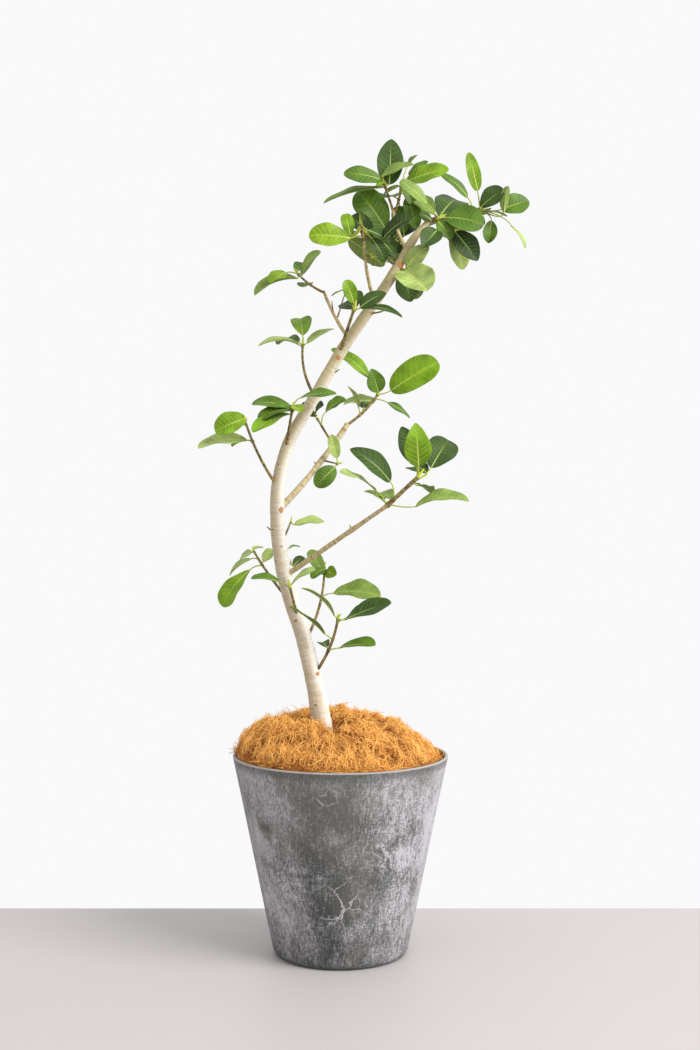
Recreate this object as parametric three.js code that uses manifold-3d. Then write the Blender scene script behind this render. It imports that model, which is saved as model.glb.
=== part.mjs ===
// A potted banyan fig: one slender trunk that leans left and sweeps back to the right, with
// short leafy shoots all the way up and an open crown, in a tapered pot topped with coir.
// Millimetres, +Z up, +X to the right and -Y towards the viewer. The origin is the middle of
// the pot's flat underside.
import * as THREE from "three";
import { mergeVertices } from "three/addons/utils/BufferGeometryUtils.js";
import Module from "manifold-3d";

// Driving sizes
const GAP = 0.35; // clearance between pieces that touch
const SEED = 7;
const POT = { height: 340, rim: 185, foot: 115, wall: 6, floor: 10, bevel: 4, lip: 1.5, sides: 48 };
const FILLING = { level: 316, clear: 1 };
const MOUND = { rise: 80, reach: 178, edge: 4, rings: 8, sides: 40, lump: 5, dip: 20, dipWidth: 30 };
const DOME = { fullness: 3.1, fullerLeft: 0.9, shoulder: 0.65, softerRight: 0.15 };
const LEAF = { stations: 4, thick: 0.013, slimmest: 1, tip: 2, arch: 0.07, sway: 8, stalk: 1.3, bend: 0.4 };
const BLADE = { lean: 1.08, blunt: 0.45 }; // the outline: widest past its middle, with a blunt tip
const FEEL = { along: [0.15, 0.4, 0.65, 0.9], across: [-0.9, 0, 0.9], clear: 2.5, spots: 60 };
const SPARE = { tries: 6, turn: 137.5, width: 0.52, stalk: 12, room: 14 };
const SPARE_RANGES = { away: [60, 84], length: [50, 76], along: [0.38, 0.98], face: [0, 40] };
const LIMB = { sides: 8, bowSteps: 5 };
const STEM = { sides: 5, taper: 0.72, sunk: 3 };

// The trunk: height, distance right, distance back and thickness
const TRUNK_SIDES = 12;
const TRUNK_STEPS = 28;
const TRUNK = [
  [FILLING.level + GAP, -28, -12, 46],
  [352, -28, -12, 41],
  [400, -33, -12, 35],
  [468, -46, -9, 29.6],
  [540, -63, -3, 28.4],
  [605, -85, 3, 27.2],
  [675, -102, 6, 26.4],
  [743, -109, 3, 25],
  [812, -106, -4, 22.8],
  [881, -86, -10, 21.6],
  [950, -46, -14, 20.8],
  [1040, 7, -14, 20],
  [1139, 74, -4, 18.8],
  [1187, 103, 4, 17.4],
  [1225, 125, 8, 14.4],
  [1262, 155, 12, 9.6],
];

// Directions as the photo shows them: clock is the angle in the picture, from 0 at the right
// through 90 straight up, and toward is the angle out of the picture, at the viewer.
// The main boughs: where they leave the trunk, their heading, length, bow and thickness
const BOUGHS = {
  bough_right_long: { height: 646, clock: 35, toward: 26, length: 238, bow: 0, thick: [10, 7.8] },
  bough_right_mid: { height: 757, clock: 52, toward: -20, length: 210, bow: -5, thick: [12, 10] },
  bough_left_upper: { height: 1052, clock: 116, toward: -32, length: 119, bow: 3, thick: [6.6, 5.6] },
  bough_crown_left: { height: 1116, clock: 101, toward: 30, length: 113, bow: 4, thick: [7.2, 6] },
  bough_crown_top: { height: 1207, clock: 108, toward: -8, length: 77, bow: 4, thick: [7, 5.4] },
  bough_crown_right: { height: 1246, clock: 23, toward: -36, length: 98, bow: 4, thick: [6.4, 5] },
};

// The shoots, one for each mass of foliage. A leaf is a row: how far along the stem it grows,
// its stalk's length and clock, its blade's clock and toward, its length and width, and how far
// its upper side turns from the sky, at 0, to the viewer, at 90. spare is the number of leaves
// that the spiral rule adds on the side that faces away.
const SHOOTS = {
  low_right: {
    limb: "trunk", height: 475, clock: 67, toward: 20, length: 119, bow: -7, thick: 6, spare: 0,
    leaves: [
      [1, 12, -14, 21, 6, 84, 42, 36],
      [0.98, 9, 130, 136, 22, 78, 24, 8],
      [0.48, 19, 12, 6, 12, 63, 32, 28],
      [0.66, 18, 144, 140, 30, 88, 22, 8],
      [0.46, 8, 110, 150, -72, 42, 22, 40],
      [0.94, 26, 22, 16, -50, 66, 24, 30],
    ],
  },
  low_front: {
    limb: "trunk", height: 568, clock: 102, toward: 32, length: 74, bow: 0, thick: 5.6, spare: 0,
    leaves: [
      [0.97, 20, 148, 173, 12, 50, 26, 27],
      [1, 7, 60, 33, 10, 48, 24, 22],
    ],
  },
  inner_right: {
    limb: "trunk", height: 533, clock: 76, toward: -34, length: 159, bow: -9, thick: 5.4, spare: 0,
    leaves: [
      [0.92, 5, 250, 120, -20, 53, 25, 60],
      [0.95, 5, -40, -12, 60, 38, 24, 85],
      [0.98, 5, -60, 207, 48, 40, 22, 30],
      [0.6, 22, 17, -3, 10, 84, 44, 42],
    ],
  },
  right_long: {
    limb: "bough_right_long", along: 1, clock: 43, toward: 8, length: 71, bow: 0, thick: 8, spare: 1,
    leaves: [
      [0.2, 31, 99, 139, 12, 86, 40, 52],
      [0.02, 31, 128, 153, 26, 74, 34, 16],
      [0, 9, 117, 153, -42, 50, 22, 4],
      [0.1, 9, 90, 132, -66, 50, 30, 50],
      [1, 17, 88, 94, 6, 72, 46, 80],
      [0.96, 23, 92, 110, -26, 76, 38, 60],
      [0.72, 50, 38, 57, -40, 78, 52, 70],
      [0.88, 28, 30, 154, -58, 56, 34, 40],
      [0.06, 45, -5, 10, 12, 88, 42, 27],
    ],
  },
  waist_right: {
    limb: "trunk", height: 693, clock: 69, toward: -34, length: 60, bow: 0, thick: 4.2, spare: 0,
    leaves: [[1, 8, -40, 6, -8, 53, 28, 30]],
  },
  waist_back: {
    limb: "trunk", height: 655, clock: 50, toward: -66, length: 40, bow: 0, thick: 4, spare: 0,
    leaves: [
      [1, 8, -50, 45, -42, 32, 18, 60],
      [0.8, 30, 92, 11, -40, 24, 12, 6],
    ],
  },
  low_left: {
    limb: "trunk", height: 598, clock: 129, toward: -36, length: 142, bow: 3, thick: 5.4, spare: 0,
    leaves: [
      [1, 5, 220, 209, -40, 38, 24, 45],
      [0.85, 15, 180, 213, -16, 50, 26, 26],
      [0.98, 6, 120, 11, -46, 24, 12, 20],
      [0.8, 6, 0, 55, -34, 32, 20, 50],
      [0.74, 23, 200, 232, 8, 81, 42, 35],
    ],
  },
  mid_left: {
    limb: "trunk", height: 800, clock: 115, toward: 30, length: 139, bow: 5, thick: 5.4, spare: 1,
    leaves: [
      [1, 5, 60, 202, 6, 57, 40, 66],
      [0.7, 12, 162, 186, 8, 82, 40, 33],
      [0.72, 12, 176, 200, -48, 40, 22, 24],
    ],
  },
  mid_front: {
    limb: "trunk", height: 858, clock: 79, toward: 30, length: 84, bow: 0, thick: 6, spare: 0,
    leaves: [
      [1, 5, 130, 171, -6, 66, 36, 32],
      [0.97, 12, 20, 193, 14, 72, 36, 30],
      [1, 5, 92, -30, 54, 34, 20, 40],
      [1, 25, 54, 6, 10, 61, 32, 25],
      [0.95, 5, 228, 208, 32, 80, 34, 25],
    ],
  },
  bough_low: {
    limb: "bough_right_mid", along: 0.6, clock: -14, toward: 24, length: 31, bow: 0, thick: 3.6, spare: 0,
    leaves: [
      [1, 10, 98, 104, 14, 43, 21, 60],
      [0.95, 7, 242, 225, 12, 48, 34, 78],
    ],
  },
  bough_inner: {
    limb: "bough_right_mid", along: 0.77, clock: 122, toward: 30, length: 62, bow: 0, thick: 4.6, spare: 0,
    leaves: [
      [1, 6, 124, 147, 40, 35, 28, 50],
      [1, 8, 116, 44, 50, 32, 26, 50],
      [0.95, 6, 126, 190, 50, 28, 22, 20],
      [0.7, 26, 74, 34, -8, 42, 24, 40],
    ],
  },
  right_mid: {
    limb: "bough_right_mid", along: 1, clock: 45, toward: -12, length: 80, bow: -4, thick: 5.6, spare: 1,
    leaves: [
      [1, 24, 16, 31, 6, 98, 54, 76],
      [1, 4, 80, 107, 18, 44, 34, 70],
      [0.98, 34, 115, 140, -4, 86, 38, 27],
      [0.9, 6, 260, 180, -26, 62, 32, 29],
      [0.88, 24, -17, -35, 4, 48, 28, 24],
      [0.36, 14, 96, 116, 24, 46, 24, 14],
    ],
  },
  left_inner: {
    limb: "trunk", height: 954, clock: 103, toward: -28, length: 111, bow: 8, thick: 5.4, spare: 0,
    leaves: [
      [1, 18, 92, 99, -54, 64, 38, 50],
      [0.98, 13, 156, 184, 6, 66, 34, 17],
      [0.98, 9, 26, 32, -12, 55, 30, 16],
      [0.94, 13, 145, 161, -58, 72, 34, 30],
    ],
  },
  left_upper: {
    limb: "bough_left_upper", along: 1, clock: 144, toward: -4, length: 57, bow: 3, thick: 4.8, spare: 1,
    leaves: [
      [0.97, 5, -20, 58, -6, 56, 30, 20],
      [1, 5, 130, 66, -52, 38, 22, 30],
      [1, 22, 177, 217, 36, 42, 27, 55],
      [1, 8, 262, 201, 16, 83, 40, 23],
    ],
  },
  left_spur: {
    limb: "bough_left_upper", along: 0.42, clock: 74, toward: -30, length: 60, bow: 0, thick: 3, spare: 0,
    leaves: [[1, 7, 110, 206, -20, 25, 12, 14]],
  },
  trunk_front: {
    limb: "trunk", height: 1024, clock: 70, toward: 36, length: 95, bow: 0, thick: 6.4, spare: 1,
    leaves: [
      [1, 8, 92, 110, 14, 42, 24, 60],
      [0.96, 5, 60, 136, -56, 46, 36, 70],
      [1, 10, 10, 29, 6, 50, 29, 60],
      [0.96, 21, 12, -12, 14, 64, 32, 26],
      [0.98, 9, 60, 87, -40, 38, 22, 50],
    ],
  },
  crown_left: {
    limb: "bough_crown_left", along: 1, clock: 101, toward: 24, length: 32, bow: 0, thick: 5.6, spare: 2,
    leaves: [
      [0.8, 27, 226, 176, 10, 69, 44, 70],
      [0.92, 25, 223, 102, -26, 46, 22, 60],
      [0.3, 25, 188, 329, -42, 92, 36, -50],
      [0.7, 23, -40, 131, -32, 66, 34, 62],
      [1, 3, 40, 110, 50, 30, 20, 40],
    ],
  },
  crown_middle: {
    limb: "bough_crown_left", along: 0.76, clock: -24, toward: 44, length: 17, bow: 0, thick: 4.4, spare: 0,
    leaves: [[1, 33, 58, 35, 14, 66, 34, 46]],
  },
  crown_core: {
    limb: "trunk", height: 1178, clock: 105, toward: -22, length: 57, bow: 0, thick: 5, spare: 3,
    leaves: [
      [1, 20, 110, 126, 2, 80, 56, 74],
      [0.9, 8, 200, 236, -10, 44, 26, 50],
      [0.8, 8, 60, 292, -30, 40, 28, 64],
      [0.75, 18, 55, 44, -34, 52, 32, 60],
      [0.95, 12, 40, 62, -30, 54, 34, 60],
      [0.6, 16, 70, 92, -44, 70, 44, 60],
      [0.4, 14, 20, 24, -50, 66, 40, 54],
      [0.3, 3, 18, 131, -25, 66, 40, 66],
      [0.3, 19, 192, 128, -20, 51, 30, 70],
      [0.86, 30, 36, 101, -14, 54, 32, 74],
    ],
  },
  crown_high_left: {
    limb: "bough_crown_top", along: 1, clock: 110, toward: 22, length: 49, bow: 0, thick: 4.6, spare: 1,
    leaves: [
      [1, 8, 130, 172, 10, 66, 34, 64],
      [0.86, 5, 176, 197, 24, 116, 34, 12],
      [1, 12, 116, 18, 16, 60, 32, 40],
      [0.98, 8, 0, 87, -18, 90, 46, 74],
    ],
  },
  crown_high: {
    limb: "bough_crown_top", along: 0.82, clock: 76, toward: -34, length: 75, bow: 0, thick: 4.4, spare: 2,
    leaves: [
      [1, 24, 58, 41, -10, 44, 20, 34],
      [1, 44, 74, 54, -30, 32, 14, 4],
      [0.9, 5, 30, 307, -6, 70, 28, 50],
      [0.8, 15, -26, 281, 30, 73, 30, 60],
      [0.96, 15, 50, 14, 14, 76, 38, 64],
    ],
  },
  crown_right: {
    limb: "trunk", along: 1, clock: 6, toward: 20, length: 16, bow: 0, thick: 8, spare: 1,
    leaves: [
      [1, 12, 6, -11, 14, 68, 50, 70],
      [0.9, 6, 46, 52, -46, 90, 58, 64],
      [1, 31, 128, 141, 10, 61, 30, 50],
      [0.9, 22, 269, 233, 40, 57, 38, 70],
      [0.7, 4, 312, 309, 14, 42, 30, 60],
      [0.9, 10, 122, 133, -32, 50, 32, 60],
    ],
  },
  crown_low_right: {
    limb: "trunk", height: 1243, clock: -2, toward: -4, length: 54, bow: 0, thick: 4.6, spare: 1,
    leaves: [
      [1, 5, -20, 306, 14, 66, 42, 74],
      [0.94, 8, 280, 294, -12, 62, 36, 60],
    ],
  },
  crown_far_right: {
    limb: "bough_crown_right", along: 1, clock: 18, toward: 4, length: 36, bow: 0, thick: 4.6, spare: 2,
    leaves: [
      [0.6, 28, 110, 140, 10, 63, 21, 50],
      [0.95, 34, 97, 104, 6, 68, 25, 60],
      [1, 5, 90, 37, 12, 50, 36, 74],
      [1, 37, 2, 19, -8, 53, 42, 70],
      [1, 41, -8, 85, 18, 46, 18, -4],
      [0.98, 27, -44, 262, 12, 42, 26, 66],
      [0.96, 62, -27, 300, 10, 48, 16, 4],
      [1, 5, -49, -19, 34, 50, 20, 8],
    ],
  },
  crown_throat: {
    limb: "trunk", height: 1178, clock: 328, toward: 34, length: 20, bow: 0, thick: 5, spare: 2,
    leaves: [
      [1, 6, 80, 44, 8, 53, 34, 62],
      [1, 5, 174, 308, 56, 103, 62, 66],
      [0.9, 4, 200, 286, -14, 54, 42, 70],
    ],
  },
};

// What each piece is made of
const COLOURS = {
  pot: new THREE.MeshStandardMaterial({ color: 0x7b7c7e, roughness: 0.62, metalness: 0 }),
  soil: new THREE.MeshStandardMaterial({ color: 0x3b2c20, roughness: 0.95, metalness: 0 }),
  coir: new THREE.MeshStandardMaterial({ color: 0xc07a2c, roughness: 0.95, metalness: 0 }),
  bark: new THREE.MeshStandardMaterial({ color: 0xb8a98e, roughness: 0.8, metalness: 0 }),
  leaf: new THREE.MeshStandardMaterial({ color: 0x4c8a2c, roughness: 0.4, metalness: 0 }),
};

const wasm = await Module();
wasm.setup();

// A closed geometry as a solid that can be joined and cut
function solidOf(geometry) {
  const bare = new THREE.BufferGeometry();
  const source = geometry.index ? geometry.toNonIndexed() : geometry;
  bare.setAttribute("position", source.getAttribute("position"));
  const merged = mergeVertices(bare, 1e-4);
  return new wasm.Manifold(
    new wasm.Mesh({
      numProp: 3,
      vertProperties: new Float32Array(merged.attributes.position.array),
      triVerts: new Uint32Array(merged.index.array),
    }),
  );
}

// A solid's surface as a geometry, without the crumbs that a cut leaves
function geometryOf(solid) {
  const largest = solid.decompose().sort((a, b) => b.volume() - a.volume())[0];
  const mesh = largest.getMesh();
  const geometry = new THREE.BufferGeometry();
  geometry.setAttribute("position", new THREE.BufferAttribute(mesh.vertProperties, 3));
  geometry.setIndex(new THREE.BufferAttribute(mesh.triVerts, 1));
  geometry.computeVertexNormals();
  return geometry;
}

// Seeded random numbers from 0 to 1
function seeded(seed) {
  let state = seed | 0;
  return () => {
    state = (state + 0x6d2b79f5) | 0;
    let t = Math.imul(state ^ (state >>> 15), 1 | state);
    t = (t + Math.imul(t ^ (t >>> 7), 61 | t)) ^ t;
    return ((t ^ (t >>> 14)) >>> 0) / 4294967296;
  };
}

// The unit vector of a clock angle in the picture and an angle toward the viewer
function heading(clock, toward) {
  const c = THREE.MathUtils.degToRad(clock);
  const w = THREE.MathUtils.degToRad(toward);
  return new THREE.Vector3(Math.cos(c) * Math.cos(w), -Math.sin(w), Math.sin(c) * Math.cos(w));
}

// A limb is a curve and its thickness at each place along it
function trunkLimb() {
  const curve = new THREE.CatmullRomCurve3(
    TRUNK.map(([height, right, back]) => new THREE.Vector3(right, back, height)),
    false,
    "catmullrom",
  );
  const radius = (t) => {
    const place = THREE.MathUtils.clamp(t, 0, 1) * (TRUNK.length - 1);
    const low = Math.min(Math.floor(place), TRUNK.length - 2);
    return THREE.MathUtils.lerp(TRUNK[low][3], TRUNK[low + 1][3], place - low) / 2;
  };
  return { curve, radius, steps: TRUNK_STEPS };
}

// A limb or stem that starts at a point and bows to the left of its heading in the picture
function straightLimb(start, { clock, toward, length, bow }, startThick, endThick) {
  const end = start.clone().addScaledVector(heading(clock, toward), length);
  const middle = start.clone().lerp(end, 0.5).addScaledVector(heading(clock + 90, 0), 2 * bow);
  return {
    curve: new THREE.QuadraticBezierCurve3(start, middle, end),
    radius: (t) => THREE.MathUtils.lerp(startThick, endThick, THREE.MathUtils.clamp(t, 0, 1)) / 2,
    steps: bow === 0 ? 1 : LIMB.bowSteps,
  };
}

// How far along a rising limb its middle reaches a height
function placeAtHeight(limb, height) {
  let low = 0;
  let high = 1;
  while (high - low > 1e-9) {
    const middle = (low + high) / 2;
    if (limb.curve.getPoint(middle).z < height) low = middle;
    else high = middle;
  }
  return (low + high) / 2;
}

// A tapering tube along a limb. swell makes it fatter and longer, to cut a clearance with.
function tube(limb, sides, swell = 0) {
  const steps = limb.steps;
  const geometry = new THREE.CylinderGeometry(1, 1, 1, sides, steps);
  const at = geometry.attributes.position;
  const rings = [];
  let across = new THREE.Vector3(0, 1, 0);
  for (let i = 0; i <= steps; i++) {
    const t = i / steps;
    const along = limb.curve.getTangent(t);
    across = across.clone().addScaledVector(along, -across.dot(along)).normalize();
    const middle = limb.curve.getPoint(t);
    if (i === 0) middle.addScaledVector(along, -swell);
    if (i === steps) middle.addScaledVector(along, swell);
    rings.push({ middle, across, other: across.clone().cross(along), r: limb.radius(t) + swell });
  }
  for (let i = 0; i < at.count; i++) {
    const { middle, across: a, other, r } = rings[Math.round((at.getY(i) + 0.5) * steps)];
    const point = middle.clone().addScaledVector(a, at.getX(i) * r).addScaledVector(other, at.getZ(i) * r);
    at.setXYZ(i, point.x, point.y, point.z);
  }
  return geometry;
}

// Where a leaf lies: its stalk's line, its blade's foot, chord and upper side, and its arch
function layLeaf(stem, row, random) {
  const [along, stalk, stalkClock, clock, toward, length, width, face] = row;
  const node = stem.curve.getPoint(along);
  const foot = node.clone().addScaledVector(heading(stalkClock, toward / 2), stalk);
  const chord = heading(clock, toward);
  const turn = THREE.MathUtils.degToRad(face + LEAF.sway * (random() - 0.5));
  const normal = new THREE.Vector3(0, -Math.sin(turn), Math.cos(turn));
  normal.addScaledVector(chord, -normal.dot(chord)).normalize();
  const across = chord.clone().cross(normal);
  return { node, foot, chord, normal, across, length, width, arch: LEAF.arch * (0.4 + random()) };
}

// The half width of a blade, as a share of its widest, from its foot at 0 to its tip at 1
function outline(s) {
  return Math.pow(Math.sin(Math.PI * Math.pow(s, BLADE.lean)), BLADE.blunt);
}

// A point of a blade: s along it, and u across it from edge to edge as -1 to 1
function bladePoint(leaf, s, u) {
  const { foot, chord, normal, across, length, arch } = leaf;
  return foot
    .clone()
    .addScaledVector(chord, length * s)
    .addScaledVector(normal, length * arch * 4 * s * (1 - s))
    .addScaledVector(across, halfWidth(leaf, s) * u);
}

// Half the width of a blade at a place along it
function halfWidth(leaf, s) {
  return Math.max(LEAF.tip, (leaf.width / 2) * outline(s));
}

// The sections of a leaf, from inside the stem along its bent stalk and on to the blade's tip
function leafSections(leaf) {
  const { node, foot, chord, across, length } = leaf;
  const sections = [];
  for (let i = 0; i <= LEAF.stations; i++) {
    const s = 0.5 - 0.5 * Math.cos((Math.PI * i) / LEAF.stations);
    const thick = Math.max(LEAF.slimmest, length * LEAF.thick) / 2;
    sections.push({ middle: bladePoint(leaf, s, 0), along: chord, across, half: halfWidth(leaf, s), thick });
  }
  const bend = foot.clone().addScaledVector(chord, -LEAF.bend * foot.distanceTo(node));
  const stalk = new THREE.QuadraticBezierCurve3(node, bend, foot);
  let side = across;
  for (const t of [0.5, 0]) {
    const along = stalk.getTangent(t);
    side = side.clone().addScaledVector(along, -side.dot(along)).normalize();
    sections.unshift({ middle: stalk.getPoint(t), along, across: side, half: LEAF.stalk, thick: LEAF.stalk });
  }
  return sections;
}

// A leaf as one closed plate, thick at its stalk and thin at its arched blade
function leafPlate(leaf) {
  const sections = leafSections(leaf);
  const last = sections.length - 1;
  const geometry = new THREE.BoxGeometry(2, 1, 2, 1, last, 1);
  const at = geometry.attributes.position;
  for (let i = 0; i < at.count; i++) {
    const { middle, along, across, half, thick } = sections[Math.round((at.getY(i) + 0.5) * last)];
    const above = across.clone().cross(along);
    const point = middle.clone().addScaledVector(across, at.getX(i) * half);
    point.addScaledVector(above, at.getZ(i) * thick);
    at.setXYZ(i, point.x, point.y, point.z);
  }
  return geometry;
}

// The points that say whether a leaf has room
function feelers(leaf) {
  const points = [];
  for (const s of FEEL.along) {
    for (const u of FEEL.across) points.push(bladePoint(leaf, s, u));
  }
  return points;
}

// Whether a leaf would touch a limb
function touchesLimb(points, limbs) {
  return limbs.some((limb) =>
    limb.spots.some(({ point, r }) => points.some((p) => p.distanceTo(point) < r + FEEL.clear)),
  );
}

// Whether a leaf would come too near the leaves of another shoot
function crowds(points, others, room) {
  return others.some((spot) => points.some((p) => p.distanceTo(spot) < room));
}

// The rows of the leaves that the spiral rule adds on a shoot's far side
function spareRows(shoot, random) {
  const rows = [];
  const first = 360 * random();
  for (let i = 0; i < shoot.spare * SPARE.tries; i++) {
    const turn = (first + i * SPARE.turn) % 360;
    const [away, length, along, face] = Object.values(SPARE_RANGES).map(([least, most]) =>
      THREE.MathUtils.lerp(least, most, random()),
    );
    rows.push([along, SPARE.stalk, turn, turn, -away, length, length * SPARE.width, face]);
  }
  return rows;
}

const limbs = new Map();
const trunk = trunkLimb();
limbs.set("trunk", trunk);
for (const [name, bough] of Object.entries(BOUGHS)) {
  const start = trunk.curve.getPoint(placeAtHeight(trunk, bough.height));
  limbs.set(name, straightLimb(start, bough, ...bough.thick));
}
for (const limb of limbs.values()) {
  limb.spots = Array.from({ length: FEEL.spots + 1 }, (_, i) => ({
    point: limb.curve.getPoint(i / FEEL.spots),
    r: limb.radius(i / FEEL.spots),
  }));
}

// Every shoot's stem and the leaves that it has room for
function growShoots() {
  const grown = [];
  const names = Object.keys(SHOOTS);
  names.forEach((name, index) => {
    const shoot = SHOOTS[name];
    const limb = limbs.get(shoot.limb);
    const place = shoot.height === undefined ? shoot.along : placeAtHeight(limb, shoot.height);
    const sunk = shoot.along === 1 ? STEM.sunk : 0;
    const start = limb.curve.getPoint(place).addScaledVector(limb.curve.getTangent(place), -sunk);
    const stem = straightLimb(start, shoot, shoot.thick, shoot.thick * STEM.taper);
    const random = seeded(SEED + index);
    const leaves = shoot.leaves.map((row) => layLeaf(stem, row, random));
    grown.push({ name, shoot, stem, leaves, random });
  });
  const foliageOf = (but) => grown.filter((g) => g !== but).flatMap((g) => g.leaves.flatMap(feelers));
  for (const g of grown) {
    g.leaves = g.leaves.filter((leaf) => !touchesLimb(feelers(leaf), [...limbs.values()]));
    const others = foliageOf(g);
    let left = g.shoot.spare;
    for (const row of spareRows(g.shoot, g.random)) {
      const leaf = layLeaf(g.stem, row, g.random);
      const points = feelers(leaf);
      const room = !touchesLimb(points, [...limbs.values()]) && !crowds(points, others, SPARE.room);
      if (left > 0 && room && !crowds(points, g.leaves.flatMap(feelers), SPARE.room / 2)) {
        g.leaves.push(leaf);
        left -= 1;
      }
    }
  }
  return grown;
}

// The pot: a tapered tub with a thin lip and a bevelled foot
function potGeometry() {
  const { height, rim, foot, wall, floor, bevel, lip, sides } = POT;
  const profile = [
    [0, 0],
    [foot - bevel, 0],
    [foot, bevel],
    [rim, height - lip],
    [rim - lip, height],
    [rim - wall + lip, height],
    [rim - wall, height - lip],
    [foot - wall, floor],
    [0, floor],
  ];
  return latheOf(profile, sides);
}

// The radius of the pot's inner wall at a height
function innerRadius(z) {
  const { height, rim, foot, wall, floor, lip } = POT;
  return THREE.MathUtils.mapLinear(z, floor, height - lip, foot - wall, rim - wall);
}

// A round piece from its profile of radius and height
function latheOf(profile, sides) {
  const points = profile.map(([r, z]) => new THREE.Vector2(r, z));
  return new THREE.LatheGeometry(points, sides).rotateX(Math.PI / 2);
}

// The soil, level across its top
function soilGeometry() {
  const { level, clear } = FILLING;
  const low = POT.floor + GAP;
  const profile = [
    [0, low],
    [innerRadius(low) - clear, low],
    [innerRadius(level) - clear, level],
    [0, level],
  ];
  return latheOf(profile, POT.sides);
}

// The height of the coir at a place: a flat-topped dome, fuller on the left, with soft lumps and
// a dip where the trunk comes through
function moundHeight(x, y) {
  const reach = MOUND.reach;
  const r = Math.min(1, Math.hypot(x, y) / reach);
  const turn = Math.atan2(y, x);
  const fullness = DOME.fullness - DOME.fullerLeft * Math.cos(turn);
  const shoulder = DOME.shoulder + DOME.softerRight * Math.cos(turn);
  const dome = MOUND.rise * Math.pow(1 - Math.pow(r, fullness), shoulder);
  const waves = Math.sin(3 * turn + 1 + 3 * r) + Math.sin(5 * turn - 2 + 6 * r);
  const lumps = MOUND.lump * waves * r * (1 - r * r);
  const [, trunkX, trunkY] = TRUNK[2];
  const near = Math.hypot(x - trunkX, y - trunkY) / MOUND.dipWidth;
  return POT.height - MOUND.edge + dome + lumps - MOUND.dip * Math.exp(-near * near);
}

// The coir: it fills the pot from the soil to the rim and stands over it as a mound
function moundGeometry() {
  const { rings, sides, reach, edge } = MOUND;
  const floor = FILLING.level + GAP;
  const profile = [
    [0, floor],
    [innerRadius(floor) - FILLING.clear, floor],
    [reach, POT.height - edge],
  ];
  for (let i = rings - 1; i > 0; i--) {
    profile.push([reach * Math.sin((i / rings) * (Math.PI / 2)), POT.height]);
  }
  profile.push([0, POT.height]);
  const geometry = latheOf(profile, sides);
  const at = geometry.attributes.position;
  for (let i = 0; i < at.count; i++) {
    if (at.getZ(i) > POT.height - edge) at.setZ(i, moundHeight(at.getX(i), at.getY(i)));
  }
  return geometry;
}

const plant = new THREE.Group();

// A named piece of the plant
function addPiece(name, geometry, material) {
  const mesh = new THREE.Mesh(geometry, material);
  mesh.name = name;
  plant.add(mesh);
}

const trunkCutter = solidOf(tube(trunk, TRUNK_SIDES, GAP));
addPiece("pot", potGeometry(), COLOURS.pot);
addPiece("soil", soilGeometry(), COLOURS.soil);
addPiece("coir_mound", geometryOf(solidOf(moundGeometry()).subtract(trunkCutter)), COLOURS.coir);
addPiece("trunk", tube(trunk, TRUNK_SIDES), COLOURS.bark);

const cutters = new Map([["trunk", trunkCutter]]);
for (const name of Object.keys(BOUGHS)) {
  const limb = limbs.get(name);
  cutters.set(name, solidOf(tube(limb, LIMB.sides, GAP)));
  addPiece(name, geometryOf(solidOf(tube(limb, LIMB.sides)).subtract(trunkCutter)), COLOURS.bark);
}

const grown = growShoots();
for (const { name, shoot, stem, leaves } of grown) {
  const pieces = [solidOf(tube(stem, STEM.sides))];
  for (const leaf of leaves) pieces.push(solidOf(leafPlate(leaf)));
  let mass = wasm.Manifold.union(pieces).subtract(cutters.get(shoot.limb));
  if (shoot.limb !== "trunk") mass = mass.subtract(trunkCutter);
  addPiece("foliage_" + name, geometryOf(mass), COLOURS.leaf);
}

export default plant;
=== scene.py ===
"""A potted banyan fig: its looks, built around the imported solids.

The boughs, twigs and leaves grow here by the rule of the part's source and from the same rows, and
are carried on to bark, veins, buds and stubs. The rows are in millimetres and the scene in metres.
+X is to the right, -Y towards the viewer and +Z up. The origin is the middle of the pot's underside.
"""

import math
from types import SimpleNamespace

import bpy
import numpy as np
from bpy.props import FloatProperty, FloatVectorProperty, IntProperty, PointerProperty
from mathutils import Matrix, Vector


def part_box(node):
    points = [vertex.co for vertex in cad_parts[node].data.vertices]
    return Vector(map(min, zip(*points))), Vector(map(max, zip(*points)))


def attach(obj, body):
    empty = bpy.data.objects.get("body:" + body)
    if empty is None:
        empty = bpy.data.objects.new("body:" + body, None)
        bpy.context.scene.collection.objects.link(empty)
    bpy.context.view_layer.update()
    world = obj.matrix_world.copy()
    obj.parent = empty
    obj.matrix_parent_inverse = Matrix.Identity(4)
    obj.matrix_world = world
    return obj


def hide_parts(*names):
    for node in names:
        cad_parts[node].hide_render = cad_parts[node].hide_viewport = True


bl_info = {
    "name": "Potted banyan fig",
    "version": (1, 0, 0),
    "blender": (4, 5, 0),
    "location": "3D View > Sidebar > Banyan",
    "description": "Builds a potted banyan fig around its packed solids",
    "category": "Add Mesh",
}

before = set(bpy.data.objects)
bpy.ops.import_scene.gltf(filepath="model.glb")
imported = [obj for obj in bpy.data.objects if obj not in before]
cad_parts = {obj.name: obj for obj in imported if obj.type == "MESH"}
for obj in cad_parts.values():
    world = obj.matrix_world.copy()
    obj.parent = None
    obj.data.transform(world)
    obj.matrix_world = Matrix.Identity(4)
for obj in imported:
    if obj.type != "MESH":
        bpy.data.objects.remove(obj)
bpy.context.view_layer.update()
POT_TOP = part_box("pot")[1]
MM = 0.001

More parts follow.
